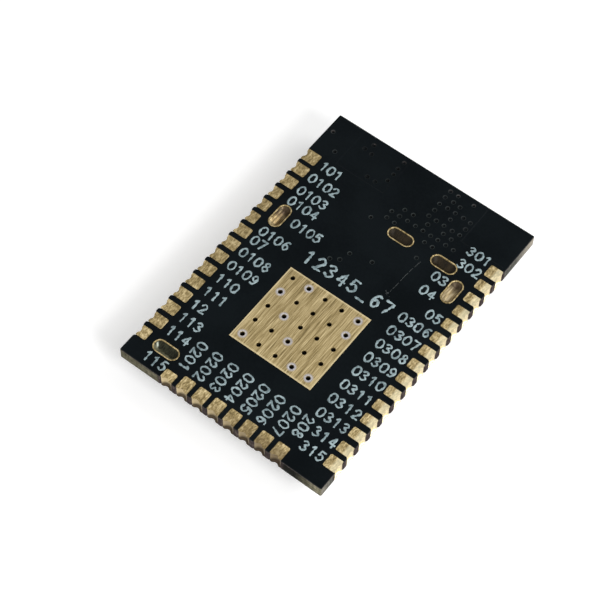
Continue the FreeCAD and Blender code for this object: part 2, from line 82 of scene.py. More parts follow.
# Half-holes as they are drilled, their plated lands, and the rounding of the edges
DRILL_RADIUS = 0.36
DRILL_OUTSET = 0.08
CUT_SHIFT = 0.05
TOOTH_ROUNDING = 0.12
PLATING = 0.035
DRILL_STEPS = 14
TOOTH_STEPS = 4
LAND_CORNER = 0.07
CORNER_STEPS = 3
BOARD_CORNER = 0.08
BOARD_EDGE_ROUNDING = 0.06
LIP_ROUNDING = 0.11
LIP_FADE = 0.2
LAND_ROUNDING = 0.022
LAND_STEP = 0.01
LAND_MARGIN = 0.001
ROUNDING_STEPS = 4

# Ground pad, its vias and the solder that ran into some of them
THERMAL_VIA_RADIUS = 0.13
THERMAL_VIA_COUNT = 5
THERMAL_VIA_PITCH = 1.06
VIA_STEPS = 20
HALO_PLACES = (
    (-1.08, -0.60), (2.15, -0.65), (-2.07, -1.72), (2.15, -1.80),
    (-0.91, -2.79), (0.07, -3.90), (-2.01, -4.92), (1.09, -4.90), (2.08, -4.83),
)
HALO_RADIUS = 0.31
HALO_SIZES = (0.86, 1.08)
HALO_RAGGEDNESS = 0.16
HALO_HEIGHT = 0.004
HALO_SINK = 0.004
HALO_GAP = 0.006
HALO_PROFILE = ((0.0, 0.0), (0.12, 0.7), (0.45, 1.0), (0.8, 0.8), (1.0, 0.2))

# Oval slots, and the solder in them with its ridge over the tip of the can's tab
SLOT_RIM = 0.07
SLOT_STEPS = 16
SLOT_LIP_ROUNDING = 0.03
FILL_OVERLAP = 0.004
FILL_REACH = 0.97
FILL_HEM = 0.05
FILL_SAG = 0.20
FILL_RIPPLE = 0.04
FILL_RIPPLE_WAVES = 2
FILL_DEPTH = 0.45
FILL_STEPS = 8
TAB_OFFSET = 0.12
TAB_RIDGES = {"slot_solder_left": 0.06}
FLAT_RIDGE = 0.015
RIDGE_WIDTH = 0.08

# Small tented vias
STITCH_PITCH = 0.50
RECEPTACLE_FIELD = ("oo.o.", "ooo..", "ooooo", "o.o.o", "ooooo")
SLOT_FIELD = (".oo.o.oo.", "ooooooooo", "oo...oo..")
SLOT_FIELD_START = (-1.32, 1.54)
ANTENNA_FIELD = ("o", "o", "o", "o")
ANTENNA_FIELD_START = (1.30, 0.80)
LOOSE_VIAS = (
    (-6.04, 8.22), (-5.20, 7.20), (-3.76, 8.87), (-4.02, 8.37), (-3.52, 8.32), (-2.80, 6.98), (-2.31, 6.98),
    (-1.12, 4.98), (2.31, 4.40), (0.60, 2.75), (-0.63, 2.49), (-0.82, 1.86), (-1.28, 1.55),
)
VIA_WANDER = 0.025
CRATER_STEPS = 16
CRATER_SIZES = (0.86, 1.04)
CRATER_DEPTHS = (0.75, 1.10)
CRATER_PROFILE = (
    (0.19, 0.000), (0.165, 0.007), (0.14, 0.009), (0.11, -0.004), (0.08, -0.040), (0.03, -0.060),
)

# A scratch in the mask, from its upper end, and the dust at its lower one
SCRATCH = ((2.62, 4.35), (2.51, 3.79), (2.45, 2.89), (2.45, 2.18), (2.36, 1.71))
SCRATCH_STEP = 0.08
SCRATCH_WANDER = 0.04
SCRATCH_WAVES = 2.5
SCRATCH_WIDTHS = (0.010, 0.022)
SCRATCH_BREAK_WAVES = 0.41
SCRATCH_BREAK_LEVEL = 0.22
DUST_COUNT = 9
DUST_SPREAD = (0.10, 0.07)
DUST_STEP = 0.03
DUST_WIDTHS = (0.014, 0.030)

# Windows without copper, where the mask lies lower: limits in x, then in y
WINDOW_DEPTH = 0.016
WINDOW_SLOPE = 0.05
MASK_WINDOWS = (((-4.71, -1.51), (6.62, 9.24)), ((3.51, 6.25), (6.70, 9.24)))

# Print: its letters, the ragged bead of ink that draws them, and its places
CAP_HEIGHT = 0.55
TITLE_HEIGHT = 0.77
STROKE_WIDTH = 0.105
TITLE_STROKE_WIDTH = 0.135
GLYPH_WIDTH = 0.66
GLYPH_ADVANCE = 0.90
TITLE_ADVANCE = 0.945
GLYPH_WANDER = 0.012
PATH_STEP = 0.045
INK_THICKNESS = 0.018
INK_SINK = 0.003
BEAD_STEPS = 6
BEAD_SWELL = 0.8
BEAD_SWELL_WAVES = 7
BEAD_DRIFT = 0.22
BEAD_DRIFT_WAVES = 5
BEAD_FULLNESS = 0.6
BEAD_END_TURNS = (0.35, 0.7, 0.92)
INK_SMOOTHING = 60
LEFT_PRINT_START = -5.24
LEFT_PRINT_SHIFTS = {4: 0.13, 6: -0.33, 7: -0.07}
LEFT_PRINT_SHIFT = -0.04
LEFT_PRINT_PLACES = {5: (-4.20, 2.16), 15: (LEFT_PRINT_START, -8.82)}
RIGHT_PRINT_END = 5.52
RIGHT_PRINT_ENDS = {3: 4.42, 4: 4.42}
RIGHT_PRINT_SHIFTS = {1: 0.43, 2: 0.48, 3: 0.02, 4: -0.05}
RIGHT_PRINT_SHIFT = -0.07
END_PRINT_Y = -6.50
END_PRINT_SHIFTS = {8: 0.08}
END_PRINT_SHIFT = 0.22
TITLE_TEXT = "12345_67"
TITLE_PLACE = (0.36, 0.96)

# Camera, lamps and floor, in millimetres. A lamp has a name, a place, a size and a power
CAMERA_PLACE = Vector((29.585, -44.153, 89.812))
CAMERA_TARGET = Vector((-0.656, -1.483, 2.400))
CAMERA_ROLL = math.radians(2.37)
CAMERA_LENS = 116.47
SENSOR_WIDTH = 36
CLIP_START = 5
LAMPS = (
    ("key", (95, -28, 75), 45, 0.092),
    ("fill", (70, 66, 88), 60, 0.054),
    ("front", (-15, -110, 60), 90, 0.02),
)
WORLD_LIGHT = 0.46
FLOOR_REACH = 600
FLOOR_GREY = 0.86
FLOOR_GLOW = 0.32


class Solid:
    """Collects rings of points and the faces between them, and makes one mesh object of them."""

    def __init__(self):
        self.points = []
        self.faces = []
        self.level_faces = set()

    def ring(self, points):
        """Add points and return their numbers."""
        first = len(self.points)
        self.points += [Vector(point) for point in points]
        return list(range(first, len(self.points)))

    def flat_ring(self, points, z):
        """Add plane points at one height."""
        return self.ring((x, y, z) for x, y in points)

    def board_rings(self, points):
        """Plane points on the laminate's top, and again on its bottom."""
        return [self.flat_ring(points, z) for z in (board_top, board_bottom)]

    def bridge(self, upper, lower, closed=True):
        """Faces between two rings with the same number of points, the upper one anticlockwise."""
        count = len(upper)
        for i in range(count if closed else count - 1):
            j = (i + 1) % count
            self.faces.append((upper[i], lower[i], lower[j], upper[j]))

    def loft(self, rings):
        """Bridge each ring to the next."""
        for upper, lower in zip(rings, rings[1:]):
            self.bridge(upper, lower)

    def bore(self, rings):
        """Bridge each ring to the next, with faces that look inwards."""
        for outer, inner in zip(rings, rings[1:]):
            self.bridge(inner, outer)

    def cap(self, outline, holes=(), creases=(), upward=True):
        """Fill a ring with triangles, leaving the holes open, and follow the creases."""
        rings = [outline, *holes, *creases]
        numbers = [i for ring in rings for i in ring]
        ring_of = [k for k, ring in enumerate(rings) for i in ring]
        edges = []
        start = 0
        for ring in rings:
            edges += [(start + i, start + (i + 1) % len(ring)) for i in range(len(ring))]
            start += len(ring)
        flat = [self.points[i].to_2d() for i in numbers]
        result = delaunay_2d_cdt(flat, edges, [], 1, FILL_TOLERANCE)
        triangles, originals = result[2], result[3]
        for triangle in triangles:
            corners = [originals[i][0] for i in triangle]
            owners = {ring_of[i] for i in corners}
            if len(owners) == 1 and 0 < owners.pop() <= len(holes):
                continue
            face = [numbers[i] for i in corners]
            a, b, c = (self.points[i] for i in face[:3])
            is_up = (b - a).cross(c - a).z > 0
            self.level_faces.add(len(self.faces))
            self.faces.append(face if is_up == upward else face[::-1])

    def make(self, name, material, slot, smooth_degrees=40):
        """The finished object, which rides with the module."""
        mesh = bpy.data.meshes.new(name)
        mesh.from_pydata([point * MM for point in self.points], [], self.faces)
        is_smooth = [number not in self.level_faces for number in range(len(self.faces))]
        mesh.polygons.foreach_set("use_smooth", is_smooth)
        return finish_piece(name, mesh, material, smooth_degrees)


def shade(mesh, smooth_degrees):
    """Smooth shading up to an angle. The filled faces keep their own true normals."""
    is_level = [not polygon.use_smooth for polygon in mesh.polygons]
    mesh.polygons.foreach_set("use_smooth", [True] * len(mesh.polygons))
    mesh.set_sharp_from_angle(angle=math.radians(smooth_degrees))
    normals = [corner.vector.copy() for corner in mesh.corner_normals]
    level_normals = {}
    for polygon in mesh.polygons:
        if is_level[polygon.index] and abs(polygon.normal.z) > LEVEL_COSINE:
            level_normals.update((vertex, polygon.normal.copy()) for vertex in polygon.vertices)
    smooth_cosine = math.cos(math.radians(smooth_degrees))
    for polygon in mesh.polygons:
        for corner, vertex in zip(polygon.loop_indices, polygon.vertices):
            if is_level[polygon.index]:
                normals[corner] = polygon.normal.copy()
            elif vertex in level_normals and polygon.normal.dot(level_normals[vertex]) > smooth_cosine:
                normals[corner] = level_normals[vertex]
    mesh.normals_split_custom_set(normals)


def add_object(name, data):
    """A new object in the scene."""
    thing = bpy.data.objects.new(name, data)
    bpy.context.scene.collection.objects.link(thing)
    return thing


def finish_piece(name, mesh, material, smooth_degrees=40, weighted=False):
    """Clean a mesh, shade it, and make it a piece that rides with the module."""
    shape = bmesh.new()
    shape.from_mesh(mesh)
    bmesh.ops.remove_doubles(shape, verts=shape.verts, dist=MERGE_DISTANCE)
    bmesh.ops.dissolve_degenerate(shape, edges=shape.edges, dist=SLIVER_LENGTH)
    bmesh.ops.recalc_face_normals(shape, faces=shape.faces)
    shape.to_mesh(mesh)
    shape.free()
    shade(mesh, smooth_degrees)
    piece = add_object(name, mesh)
    mesh.materials.append(material)
    if weighted:
        piece.modifiers.new("even_normals", "WEIGHTED_NORMAL").keep_sharp = True
    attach(piece, "root")
    return piece


# Colours of the gold, at each level of its grain and where it is stained, with painted shade, painted
# highlights and painted light on it, and a darker band on the end row
PLAIN_GOLD = (0.360, 0.272, 0.122)
GOLD_TINTS = ((0.41, (0.155, 0.114, 0.046)), (0.50, PLAIN_GOLD), (0.60, (0.700, 0.570, 0.320)))
GOLD_STAIN = (0.150, 0.100, 0.046)
LEFT_SHADE_GOLD = (0.130, 0.095, 0.042)
HOLE_SHADE_BROWN = (0.016, 0.011, 0.008)
EDGE_HIGHLIGHT_GOLD = (0.80, 0.67, 0.40)
LIP_HIGHLIGHT_GOLD = (0.96, 0.88, 0.60)
LIT_WALL_GOLD = (0.70, 0.59, 0.37)
END_ROW_DARK_GOLD = (0.150, 0.105, 0.048)
END_WALL_LIGHT_AND_SHADE = ((0.66, 0.53, 0.30), (0.180, 0.125, 0.056))
FOOT_SHADE_BROWN = (0.040, 0.026, 0.016)

# Colours of the board, at each level of a pattern
MASK_TINTS = ((0.38, (0.0016, 0.0030, 0.0040)), (0.62, (0.0038, 0.0060, 0.0074)))
CRATER_SHADE_AND_HIGHLIGHT = ((0.35, (0.0008, 0.0010, 0.0012)), (1.0, (0.032, 0.038, 0.038)))
GREY_TINTS = ((0.36, (0.038, 0.038, 0.033)), (0.50, (0.084, 0.084, 0.072)), (0.66, (0.19, 0.19, 0.165)))
OLIVE_TINTS = ((0.36, (0.075, 0.070, 0.042)), (0.52, (0.205, 0.190, 0.125)), (0.68, (0.40, 0.36, 0.25)))
TOOTH_TINTS = ((0.36, (0.022, 0.017, 0.018)), (0.54, (0.060, 0.045, 0.042)), (0.70, (0.150, 0.122, 0.105)))
RIM_WEAR_AND_HIGHLIGHT_TINTS = ((0.36, (0.030, 0.024, 0.024)), (0.62, (0.170, 0.145, 0.140)))
CHAR_BLACK = (0.010, 0.010, 0.008)
DARK_OLIVE = (0.020, 0.020, 0.015)
WORN_CORNER = (0.52, 0.46, 0.37)

# Colours of the solder, of the painted shade at a slot's end and in the dark slots, and of a painted glint
LEFT_SOLDER_TINTS = ((0.38, (0.150, 0.105, 0.046)), (0.50, (0.46, 0.36, 0.19)), (0.62, (0.92, 0.82, 0.56)))
RIGHT_SOLDER_TINTS = ((0.38, (0.150, 0.110, 0.052)), (0.50, (0.32, 0.255, 0.145)), (0.62, (0.54, 0.45, 0.29)))
SLOT_END_SHADE_BROWN = (0.030, 0.018, 0.010)
FAR_SOLDER_SHADE_TINTS = ((0.36, (0.006, 0.006, 0.003)), (0.64, (0.034, 0.036, 0.020)))
PALE_OLIVE = (0.170, 0.165, 0.105)
PAINTED_GLINT = (0.55, 0.60, 0.50)
RING_TINTS = ((0.38, (0.32, 0.31, 0.34)), (0.62, (0.60, 0.60, 0.64)))


class Pattern:
    """A number that varies over a surface. Arithmetic on it adds steps to its material."""

    def __init__(self, paint, socket):
        self.paint = paint
        self.socket = socket

    def __add__(self, other):
        return self.paint.calculate("ADD", self, other)

    def __sub__(self, other):
        return self.paint.calculate("SUBTRACT", self, other)

    def __rsub__(self, other):
        return self.paint.calculate("SUBTRACT", other, self)

    def __mul__(self, other):
        return self.paint.calculate("MULTIPLY", self, other)

    def __abs__(self):
        return self.paint.calculate("ABSOLUTE", self)


class Tree:
    """The nodes of a material or of the world."""

    def __init__(self, owner):
        owner.use_nodes = True
        self.nodes = owner.node_tree.nodes
        self.links = owner.node_tree.links

    def feed(self, value, target):
        """Give a socket a pattern, a colour, a number or a list of numbers."""
        if isinstance(value, Pattern):
            self.links.new(value.socket, target)
        else:
            target.default_value = (*value, 1.0) if isinstance(value, tuple) else value

    def add(self, kind, output, inputs, **settings):
        """One output of a new node, which gets its settings and its inputs."""
        node = self.nodes.new(kind)
        for name, value in settings.items():
            setattr(node, name, value)
        for name, value in inputs.items():
            self.feed(value, node.inputs[name])
        return Pattern(self, node.outputs[output])

    def calculate(self, operation, a, b=0.0):
        """One arithmetic step."""
        return self.add("ShaderNodeMath", 0, {0: a, 1: b}, operation=operation)

    def larger(self, a, b):
        """The larger one of two patterns, at each place."""
        return self.calculate("MAXIMUM", a, b)

    def span(self, value, low, high, out_low=0.0, out_high=1.0):
        """A pattern stretched from one range to another, and held at its ends."""
        limits = {"From Min": low, "From Max": high, "To Min": out_low, "To Max": out_high}
        return self.add("ShaderNodeMapRange", "Result", {"Value": value, **limits})

    def seen_by_mirror_or_camera(self):
        """One where a ray comes from the camera, a glossy surface or a clear one."""
        camera, glossy, clear = (
            self.add("ShaderNodeLightPath", "Is %s Ray" % kind, {})
            for kind in ("Camera", "Glossy", "Transmission")
        )
        return self.larger(self.larger(camera, glossy), clear)


class Paint(Tree):
    """A procedural material, with its patterns in millimetres of the module's own frame."""

    def __init__(self, name):
        self.material = bpy.data.materials.new(name)
        super().__init__(self.material)
        self.shader = self.nodes["Principled BSDF"]
        place = self.add("ShaderNodeTexCoord", "Object", {})
        self.place = self.add("ShaderNodeMapping", "Vector", {"Vector": place, "Scale": [1 / MM] * 3})

    def noise(self, scale, finer=1.0, detail=3.0, roughness=0.5, shift=0.0, distortion=0.0):
        """Noise with its scale in waves per millimetre, one for all axes or one for each."""
        axes = scale if isinstance(scale, tuple) else (scale,) * 3
        stretched = self.add("ShaderNodeMapping", "Vector", {
            "Vector": self.place, "Scale": [finer * waves for waves in axes], "Location": [shift] * 3})
        return self.add("ShaderNodeTexNoise", "Fac", {
            "Vector": stretched, "Scale": 1.0, "Detail": detail,
            "Roughness": roughness, "Distortion": distortion})

    def ramp(self, pattern, stops):
        """A colour for each level of a pattern."""
        node = self.nodes.new("ShaderNodeValToRGB")
        elements = node.color_ramp.elements
        while len(elements) < len(stops):
            elements.new(0.5)
        for element, (position, colour) in zip(elements, stops):
            element.position = position
            element.color = (*colour, 1.0)
        self.feed(pattern, node.inputs["Fac"])
        return Pattern(self, node.outputs["Color"])

    def mix(self, factor, a, b):
        """Two colours, mixed."""
        return self.add("ShaderNodeMix", "Result", {"Factor": factor, "A": a, "B": b}, data_type="RGBA")

    def bump(self, height, distance, strength=1.0):
        """Fine relief, with its depth in millimetres."""
        relief = {"Height": height, "Distance": distance * MM, "Strength": strength}
        self.set(Normal=self.add("ShaderNodeBump", "Normal", relief))

    def coordinate(self, axis):
        """One of the three coordinates of the shaded point, in millimetres."""
        return self.add("ShaderNodeSeparateXYZ", axis, {0: self.place})

    def facing(self, axis, normal="True Normal"):
        """One component of the surface's normal: the true one, or the smooth one called Normal."""
        return self.add("ShaderNodeSeparateXYZ", axis, {0: self.add("ShaderNodeNewGeometry", normal, {})})

    def set(self, **values):
        """Give the shader its numbers, colours and patterns."""
        for name, value in values.items():
            self.feed(value, self.shader.inputs[name.replace("_", " ")])


def gold_paint(name, streak, metallic, on_edge=False, border=0.0):
    """Thin gold over nickel with a brushed grain, with painted shade towards the left and down in the holes.
    """
    paint = Paint(name)
    streaks = paint.noise(streak, detail=6.0, roughness=0.68)
    grain = paint.noise(streak, 2.7, roughness=0.6, shift=4.0)
    bands = paint.noise(streak, 0.24, detail=2.0, shift=9.0)
    colour = paint.ramp(streaks * 0.44 + grain * 0.44 + bands * 0.12, GOLD_TINTS)
    waves = paint.noise(streak, 0.42, detail=2.0, shift=15.0, distortion=0.7)
    line = paint.span(abs(waves - 0.5), 0.0, 0.014, 0.3, 0.0)
    stained = paint.span(paint.noise(0.8, detail=2.0, shift=21.0), 0.48, 0.58)
    colour = paint.mix(line * stained, colour, GOLD_STAIN)
    x, y, z = (paint.coordinate(axis) for axis in "XYZ")
    # Painted shade: the gold is darkened towards the left, fading out towards the end row
    left_shade = paint.span(x, -half_width, half_width, 0.30, 0.0) * paint.span(y, -8.0, 0.0)
    colour = paint.mix(left_shade, colour, LEFT_SHADE_GOLD)
    # Painted highlight round the edge of the ground pad
    if border:
        colour = pad_edge_highlight(paint, colour, x, y, border)
    if on_edge:
        colour = edge_tint(paint, colour, x, y, z)
    else:
        # Painted shade: the gold darkens to brown with depth down the holes
        hole_shade = paint.span(z, land_top - 0.03, land_top - 0.20, 0.0, 0.94)
        colour = paint.mix(hole_shade, colour, HOLE_SHADE_BROWN)
    paint.set(Base_Color=colour, Metallic=metallic, Roughness=paint.span(grain, 0.35, 0.65, 0.32, 0.48))
    paint.bump(streaks * 0.6 + grain * 0.4, 0.008)
    return paint.material


def pad_edge_highlight(paint, colour, x, y, width):
    """A paler line round the edge of the ground pad: a painted highlight on its rounded edge."""
    low, high = node_box("ground_pad")
    past_x, past_y = (
        abs(value - (first + last) / 2) - (last - first) / 2
        for value, first, last in ((x, low.x, high.x), (y, low.y, high.y))
    )
    edge_highlight = paint.span(paint.larger(past_x, past_y), -1.5 * width, -0.5 * width, 0.0, 0.55)
    return paint.mix(edge_highlight, colour, EDGE_HIGHLIGHT_GOLD)


def edge_tint(paint, colour, x, y, z):
    """Painted highlights on the rounded lips of the long edges and painted light on the walls below. On the
    end row, painted light and shade on the walls, a darker band towards the right and painted shade at the
    foot.
    """
    level = paint.facing("Z", "Normal")
    end_row = paint.span(y, -half_length + 0.75, -half_length + 0.60)
    side_row = 1.0 - end_row
    # Painted highlight: pale lips on the contacts, strongest along the right edge
    right_lip_highlight = paint.span(x, half_width - 0.42, half_width - 0.30, 0.0, 0.45)
    lip_highlight = paint.larger(right_lip_highlight, paint.span(level, 0.995, 0.92, 0.0, 0.95))
    colour = paint.mix(side_row * lip_highlight, colour, LIP_HIGHLIGHT_GOLD)
    # Painted light: the upright walls of the long rows are made paler than the lands
    colour = paint.mix(side_row * paint.span(level, 0.40, 0.10, 0.0, 0.85), colour, LIT_WALL_GOLD)
    # A band along the end row's edge, darker towards the right
    worn = paint.span(y, -half_length + 0.64, -half_length + 0.44)
    colour = paint.mix(worn * paint.span(x, -2.0, 3.5, 0.0, 0.6), colour, END_ROW_DARK_GOLD)
    # Painted light and shade: the end row's walls are pale at the left and shaded dark brown to the right
    end_wall_light_and_shade = paint.mix(paint.span(x, -3.0, 3.5), *END_WALL_LIGHT_AND_SHADE)
    colour = paint.mix(end_row * paint.span(level, 0.96, 0.55, 0.0, 0.9), colour, end_wall_light_and_shade)
    # Painted shade: the end row's walls darken to brown near the bottom face
    foot_shade = paint.span(z, board_bottom + 0.34, board_bottom + 0.04, 0.0, 0.92)
    return paint.mix(end_row * foot_shade, colour, FOOT_SHADE_BROWN)


def wall_colour(paint, speckle, x, y):
    """The board's side: dark teeth between the half-holes, and laminate at the straight cuts beyond them."""
    fibres = paint.noise((7.0, 7.0, 2.2), detail=5.0, roughness=0.65, shift=5.0)
    layers = paint.noise((0.6, 0.6, 16.0), shift=7.0)
    grain = fibres * 0.6 + layers * 0.4
    grey, olive, tooth = (paint.ramp(grain, tints) for tints in (GREY_TINTS, OLIVE_TINTS, TOOTH_TINTS))
    first_end, last_end = node_centre("contact_end_01").x, node_centre("contact_end_08").x
    first_side, last_side = node_centre("contact_left_01").y, node_centre("contact_left_15").y

    # The end cut is charred black beside its last contact and worn to olive brown towards the corner
    charred = paint.mix(paint.span(x + speckle * 0.6, last_end + 1.6, half_width), CHAR_BLACK, olive)
    left_cut = paint.mix(0.3, olive, DARK_OLIVE)
    end_cut = paint.mix(paint.span(x, last_end, last_end + 0.1), left_cut, charred)
    worn_ends = paint.span(abs(y + 0.5), half_length - 1.3, half_length + 0.2) * speckle
    side_cut = paint.mix(worn_ends, grey, WORN_CORNER)
    cut = paint.mix(paint.span(paint.facing("Y"), -0.5, -0.8), side_cut, end_cut)

    # The straight cuts lie beyond the first and the last contact of each row, and all along the far end
    beyond_sides = paint.larger(
        paint.span(y, first_side + 0.40, first_side + 0.60),
        paint.span(y, last_side - 0.40, last_side - 0.60))
    beyond_end = paint.larger(
        paint.span(x, first_end - 0.42, first_end - 0.60),
        paint.span(x, last_end + 0.42, last_end + 0.60))
    on_side = paint.span(abs(x), half_width - 0.5, half_width - 0.3)
    on_end = paint.span(y, -half_length + 0.5, -half_length + 0.3)
    on_far_end = paint.span(y, half_length - 0.2, half_length - 0.1)
    is_cut = paint.larger(paint.larger(beyond_sides * on_side, beyond_end * on_end), on_far_end)
    return paint.mix(is_cut, tooth, cut)


def board_paint():
    """Black solder mask, with grey laminate at the straight cuts and dark, worn brown teeth."""
    paint = Paint("board")
    x, y, z = (paint.coordinate(axis) for axis in "XYZ")
    cloud = paint.noise(0.35, detail=4.0)
    speckle = paint.noise(9.0, shift=2.0)
    mask = paint.ramp(cloud * 0.7 + speckle * 0.3, MASK_TINTS)
    wall = wall_colour(paint, speckle, x, y)

    # The craters over the vias get painted shade inside and a painted highlight at their rim
    tilt = abs(paint.facing("Z"))
    crater = paint.ramp(paint.span(z, board_top - 0.035, board_top), CRATER_SHADE_AND_HIGHLIGHT)
    mask = paint.mix(paint.span(tilt, 0.945, 0.90), mask, crater)

    # The mask is worn through along the rounded outer edges, and the paler rim there is partly a painted
    # highlight
    near_edge = paint.larger(
        paint.span(abs(x), half_width - 0.46, half_width - 0.40),
        paint.span(abs(y), half_length - 0.46, half_length - 0.40))
    upright = tilt + speckle * 0.30
    is_mask = paint.larger(paint.span(upright, 0.62, 0.90), 1.0 - near_edge)
    is_wall = paint.span(upright, 0.30, 0.48, 1.0, 0.0)
    # Paler rim on the rounding: worn-through mask with a painted highlight
    worn = paint.mix(is_wall, paint.ramp(speckle, RIM_WEAR_AND_HIGHLIGHT_TINTS), wall)
    paint.set(Base_Color=paint.mix(is_mask, worn, mask), Roughness=paint.span(is_mask, 0.0, 1.0, 0.8, 0.34))
    paint.set(Specular_IOR_Level=0.04)
    paint.bump(cloud + speckle * 0.10, 0.030, 0.5)
    return paint.material


ROUGHNESS_SPREAD = 0.06

# Plain finishes: material, dark and bright colour, roughness, waves per millimetre, and where they differ
# from a plain surface also how metallic they are, their relief and how much they reflect
PLAIN_FINISHES = {
    # Painted shade: the near-black solder in the antenna end's slots stands in for the shade inside them
    "dark_fill": (
        "dark_solder", (0.004, 0.003, 0.002), (0.034, 0.024, 0.012), 0.5, (22.0, 5.0, 5.0), 0.2, 0.006, 0.15),
    "ink": ("print_ink", (0.130, 0.180, 0.195), (0.390, 0.490, 0.510), 0.7, 11.0, 0.0, 0.006, 0.1),
    "solder": ("solder", (0.40, 0.40, 0.40), (0.60, 0.60, 0.59), 0.38, 10.0, 1.0),
    "sheet": ("tinned_sheet", (0.42, 0.42, 0.41), (0.62, 0.62, 0.60), 0.34, (8.0, 0.9, 8.0), 1.0, 0.003),
    "mould": ("chip_mould", (0.022, 0.022, 0.023), (0.040, 0.040, 0.042), 0.55, 14.0),
    "brown": ("capacitor_ceramic", (0.26, 0.16, 0.09), (0.46, 0.31, 0.19), 0.5),
    "white": ("pale_ceramic", (0.62, 0.64, 0.66), (0.82, 0.83, 0.84), 0.45),
    "black": ("resistor_glaze", (0.018, 0.018, 0.018), (0.040, 0.040, 0.040), 0.3),
    "cream": ("receptacle_plastic", (0.62, 0.58, 0.47), (0.78, 0.75, 0.65), 0.5),
    "bright_gold": ("receptacle_gold", (0.66, 0.48, 0.21), (0.86, 0.68, 0.36), 0.24, 6.0, 1.0),
    "scratch": ("scratch_dust", (0.030, 0.034, 0.036), (0.090, 0.098, 0.100), 0.8, 9.0),
}


def plain_paint(name, dark, bright, roughness, scale=6.0, metallic=0.0, relief=0.006, specular=0.4):
    """A mottled surface with fine relief."""
    paint = Paint(name)
    broad = paint.noise(scale, 1 / 6)
    fine = paint.noise(scale, detail=4.0, shift=3.0)
    colour = paint.ramp(broad * 0.5 + fine * 0.5, ((0.36, dark), (0.64, bright)))
    paint.set(Base_Color=colour, Metallic=metallic, Specular_IOR_Level=specular)
    smoothest, roughest = roughness - ROUGHNESS_SPREAD, roughness + ROUGHNESS_SPREAD
    paint.set(Roughness=paint.span(fine, 0.3, 0.7, smoothest, roughest))
    paint.bump(fine, relief)
    return paint.material


def fill_paint(name, middle_y, streak, tints, shade_start, roughness):
    """Solder under a gold wash, with painted brown shade at the end towards +Y."""
    paint = Paint(name)
    blots = paint.noise((2.4, 1.6, 1.6))
    streaks = paint.noise(streak, detail=4.0, shift=6.0)
    metal = paint.ramp(streaks, tints)
    # Painted shade: the solder turns dark brown towards its +Y end
    first_shade = middle_y + shade_start
    end_shade = paint.span(paint.coordinate("Y") + blots * 0.9, first_shade, first_shade + 0.35, 0.0, 0.92)
    paint.set(Base_Color=paint.mix(end_shade, metal, SLOT_END_SHADE_BROWN), Metallic=0.8)
    smoothest, roughest = roughness - ROUGHNESS_SPREAD, roughness + ROUGHNESS_SPREAD
    paint.set(Roughness=paint.span(streaks, 0.35, 0.65, smoothest, roughest))
    paint.bump(streaks, 0.006)
    return paint.material


def far_fill_paint():
    """Near-black olive solder as painted shade, paler towards the end of the board, with a painted glint near
    its left end.
    """
    paint = Paint("far_slot_solder")
    low, high = node_box("slot_lining_far_end")
    grain = paint.noise((22.0, 5.0, 5.0), detail=4.0, shift=3.0)
    blots = paint.noise(3.0, shift=8.0)
    from_x = paint.coordinate("X") - (low.x + 0.18)
    from_y = paint.coordinate("Y") - (low.y + high.y) / 2
    pale_side = paint.span(from_y + (blots - 0.5) * 0.5, -0.02, -0.18, 0.0, 0.85)
    # Painted shade: near-black olive solder, paler towards the end of the board
    colour = paint.mix(pale_side, paint.ramp(grain, FAR_SOLDER_SHADE_TINTS), PALE_OLIVE)
    # Painted highlight: a bright glint near the slot's left end
    reach = paint.larger(abs(from_x), abs(from_y - 0.05 + from_x))
    spot = paint.span(reach, 0.03, 0.10, 0.8, 0.0)
    paint.set(Base_Color=paint.mix(spot, colour, PAINTED_GLINT), Metallic=0.2, Roughness=0.5)
    paint.set(Specular_IOR_Level=0.15)
    paint.bump(grain, 0.006)
    return paint.material


def halo_paint():
    """Solder that thins out into the gold around each via."""
    paint = Paint("solder_ring")
    centre = node_centre("ground_pad")
    from_x, from_y = (
        paint.calculate("PINGPONG", paint.coordinate(axis) - middle, THERMAL_VIA_PITCH / 2)
        for axis, middle in (("X", centre.x), ("Y", centre.y))
    )
    radius = paint.calculate("SQRT", from_x * from_x + from_y * from_y)
    fine = paint.noise(14.0)
    cover = paint.span(radius + fine * 0.10, HALO_RADIUS + 0.04, HALO_RADIUS - 0.10)
    solder = paint.ramp(fine, RING_TINTS)
    paint.set(Base_Color=paint.mix(cover, PLAIN_GOLD, solder), Metallic=0.8, Roughness=0.42)
    paint.bump(fine, 0.004)
    return paint.material


def make_paints():
    """Every finish of the module, by a plain name."""
    left_y, right_y = node_centre("slot_lining_left").y, node_centre("slot_lining_right").y
    paints = {name: plain_paint(*finish) for name, finish in PLAIN_FINISHES.items()}
    return paints | {
        "board": board_paint(),
        "pad": gold_paint("gold_pad", (15.0, 0.36, 15.0), 0.85, border=0.08),
        "contact": gold_paint("gold_contact", (5.0, 2.0, 1.2), 0.80, on_edge=True),
        "lining": gold_paint("gold_lining", (4.0, 4.0, 0.8), 0.80),
        "left_fill": fill_paint("left_slot_solder", left_y, (2.6, 1.3, 2.6), LEFT_SOLDER_TINTS, 0.42, 0.36),
        "right_fill": fill_paint(
            "right_slot_solder", right_y, (9.0, 1.0, 9.0), RIGHT_SOLDER_TINTS, 0.52, 0.48),
        "far_end_fill": far_fill_paint(),
        "halo": halo_paint(),
    }


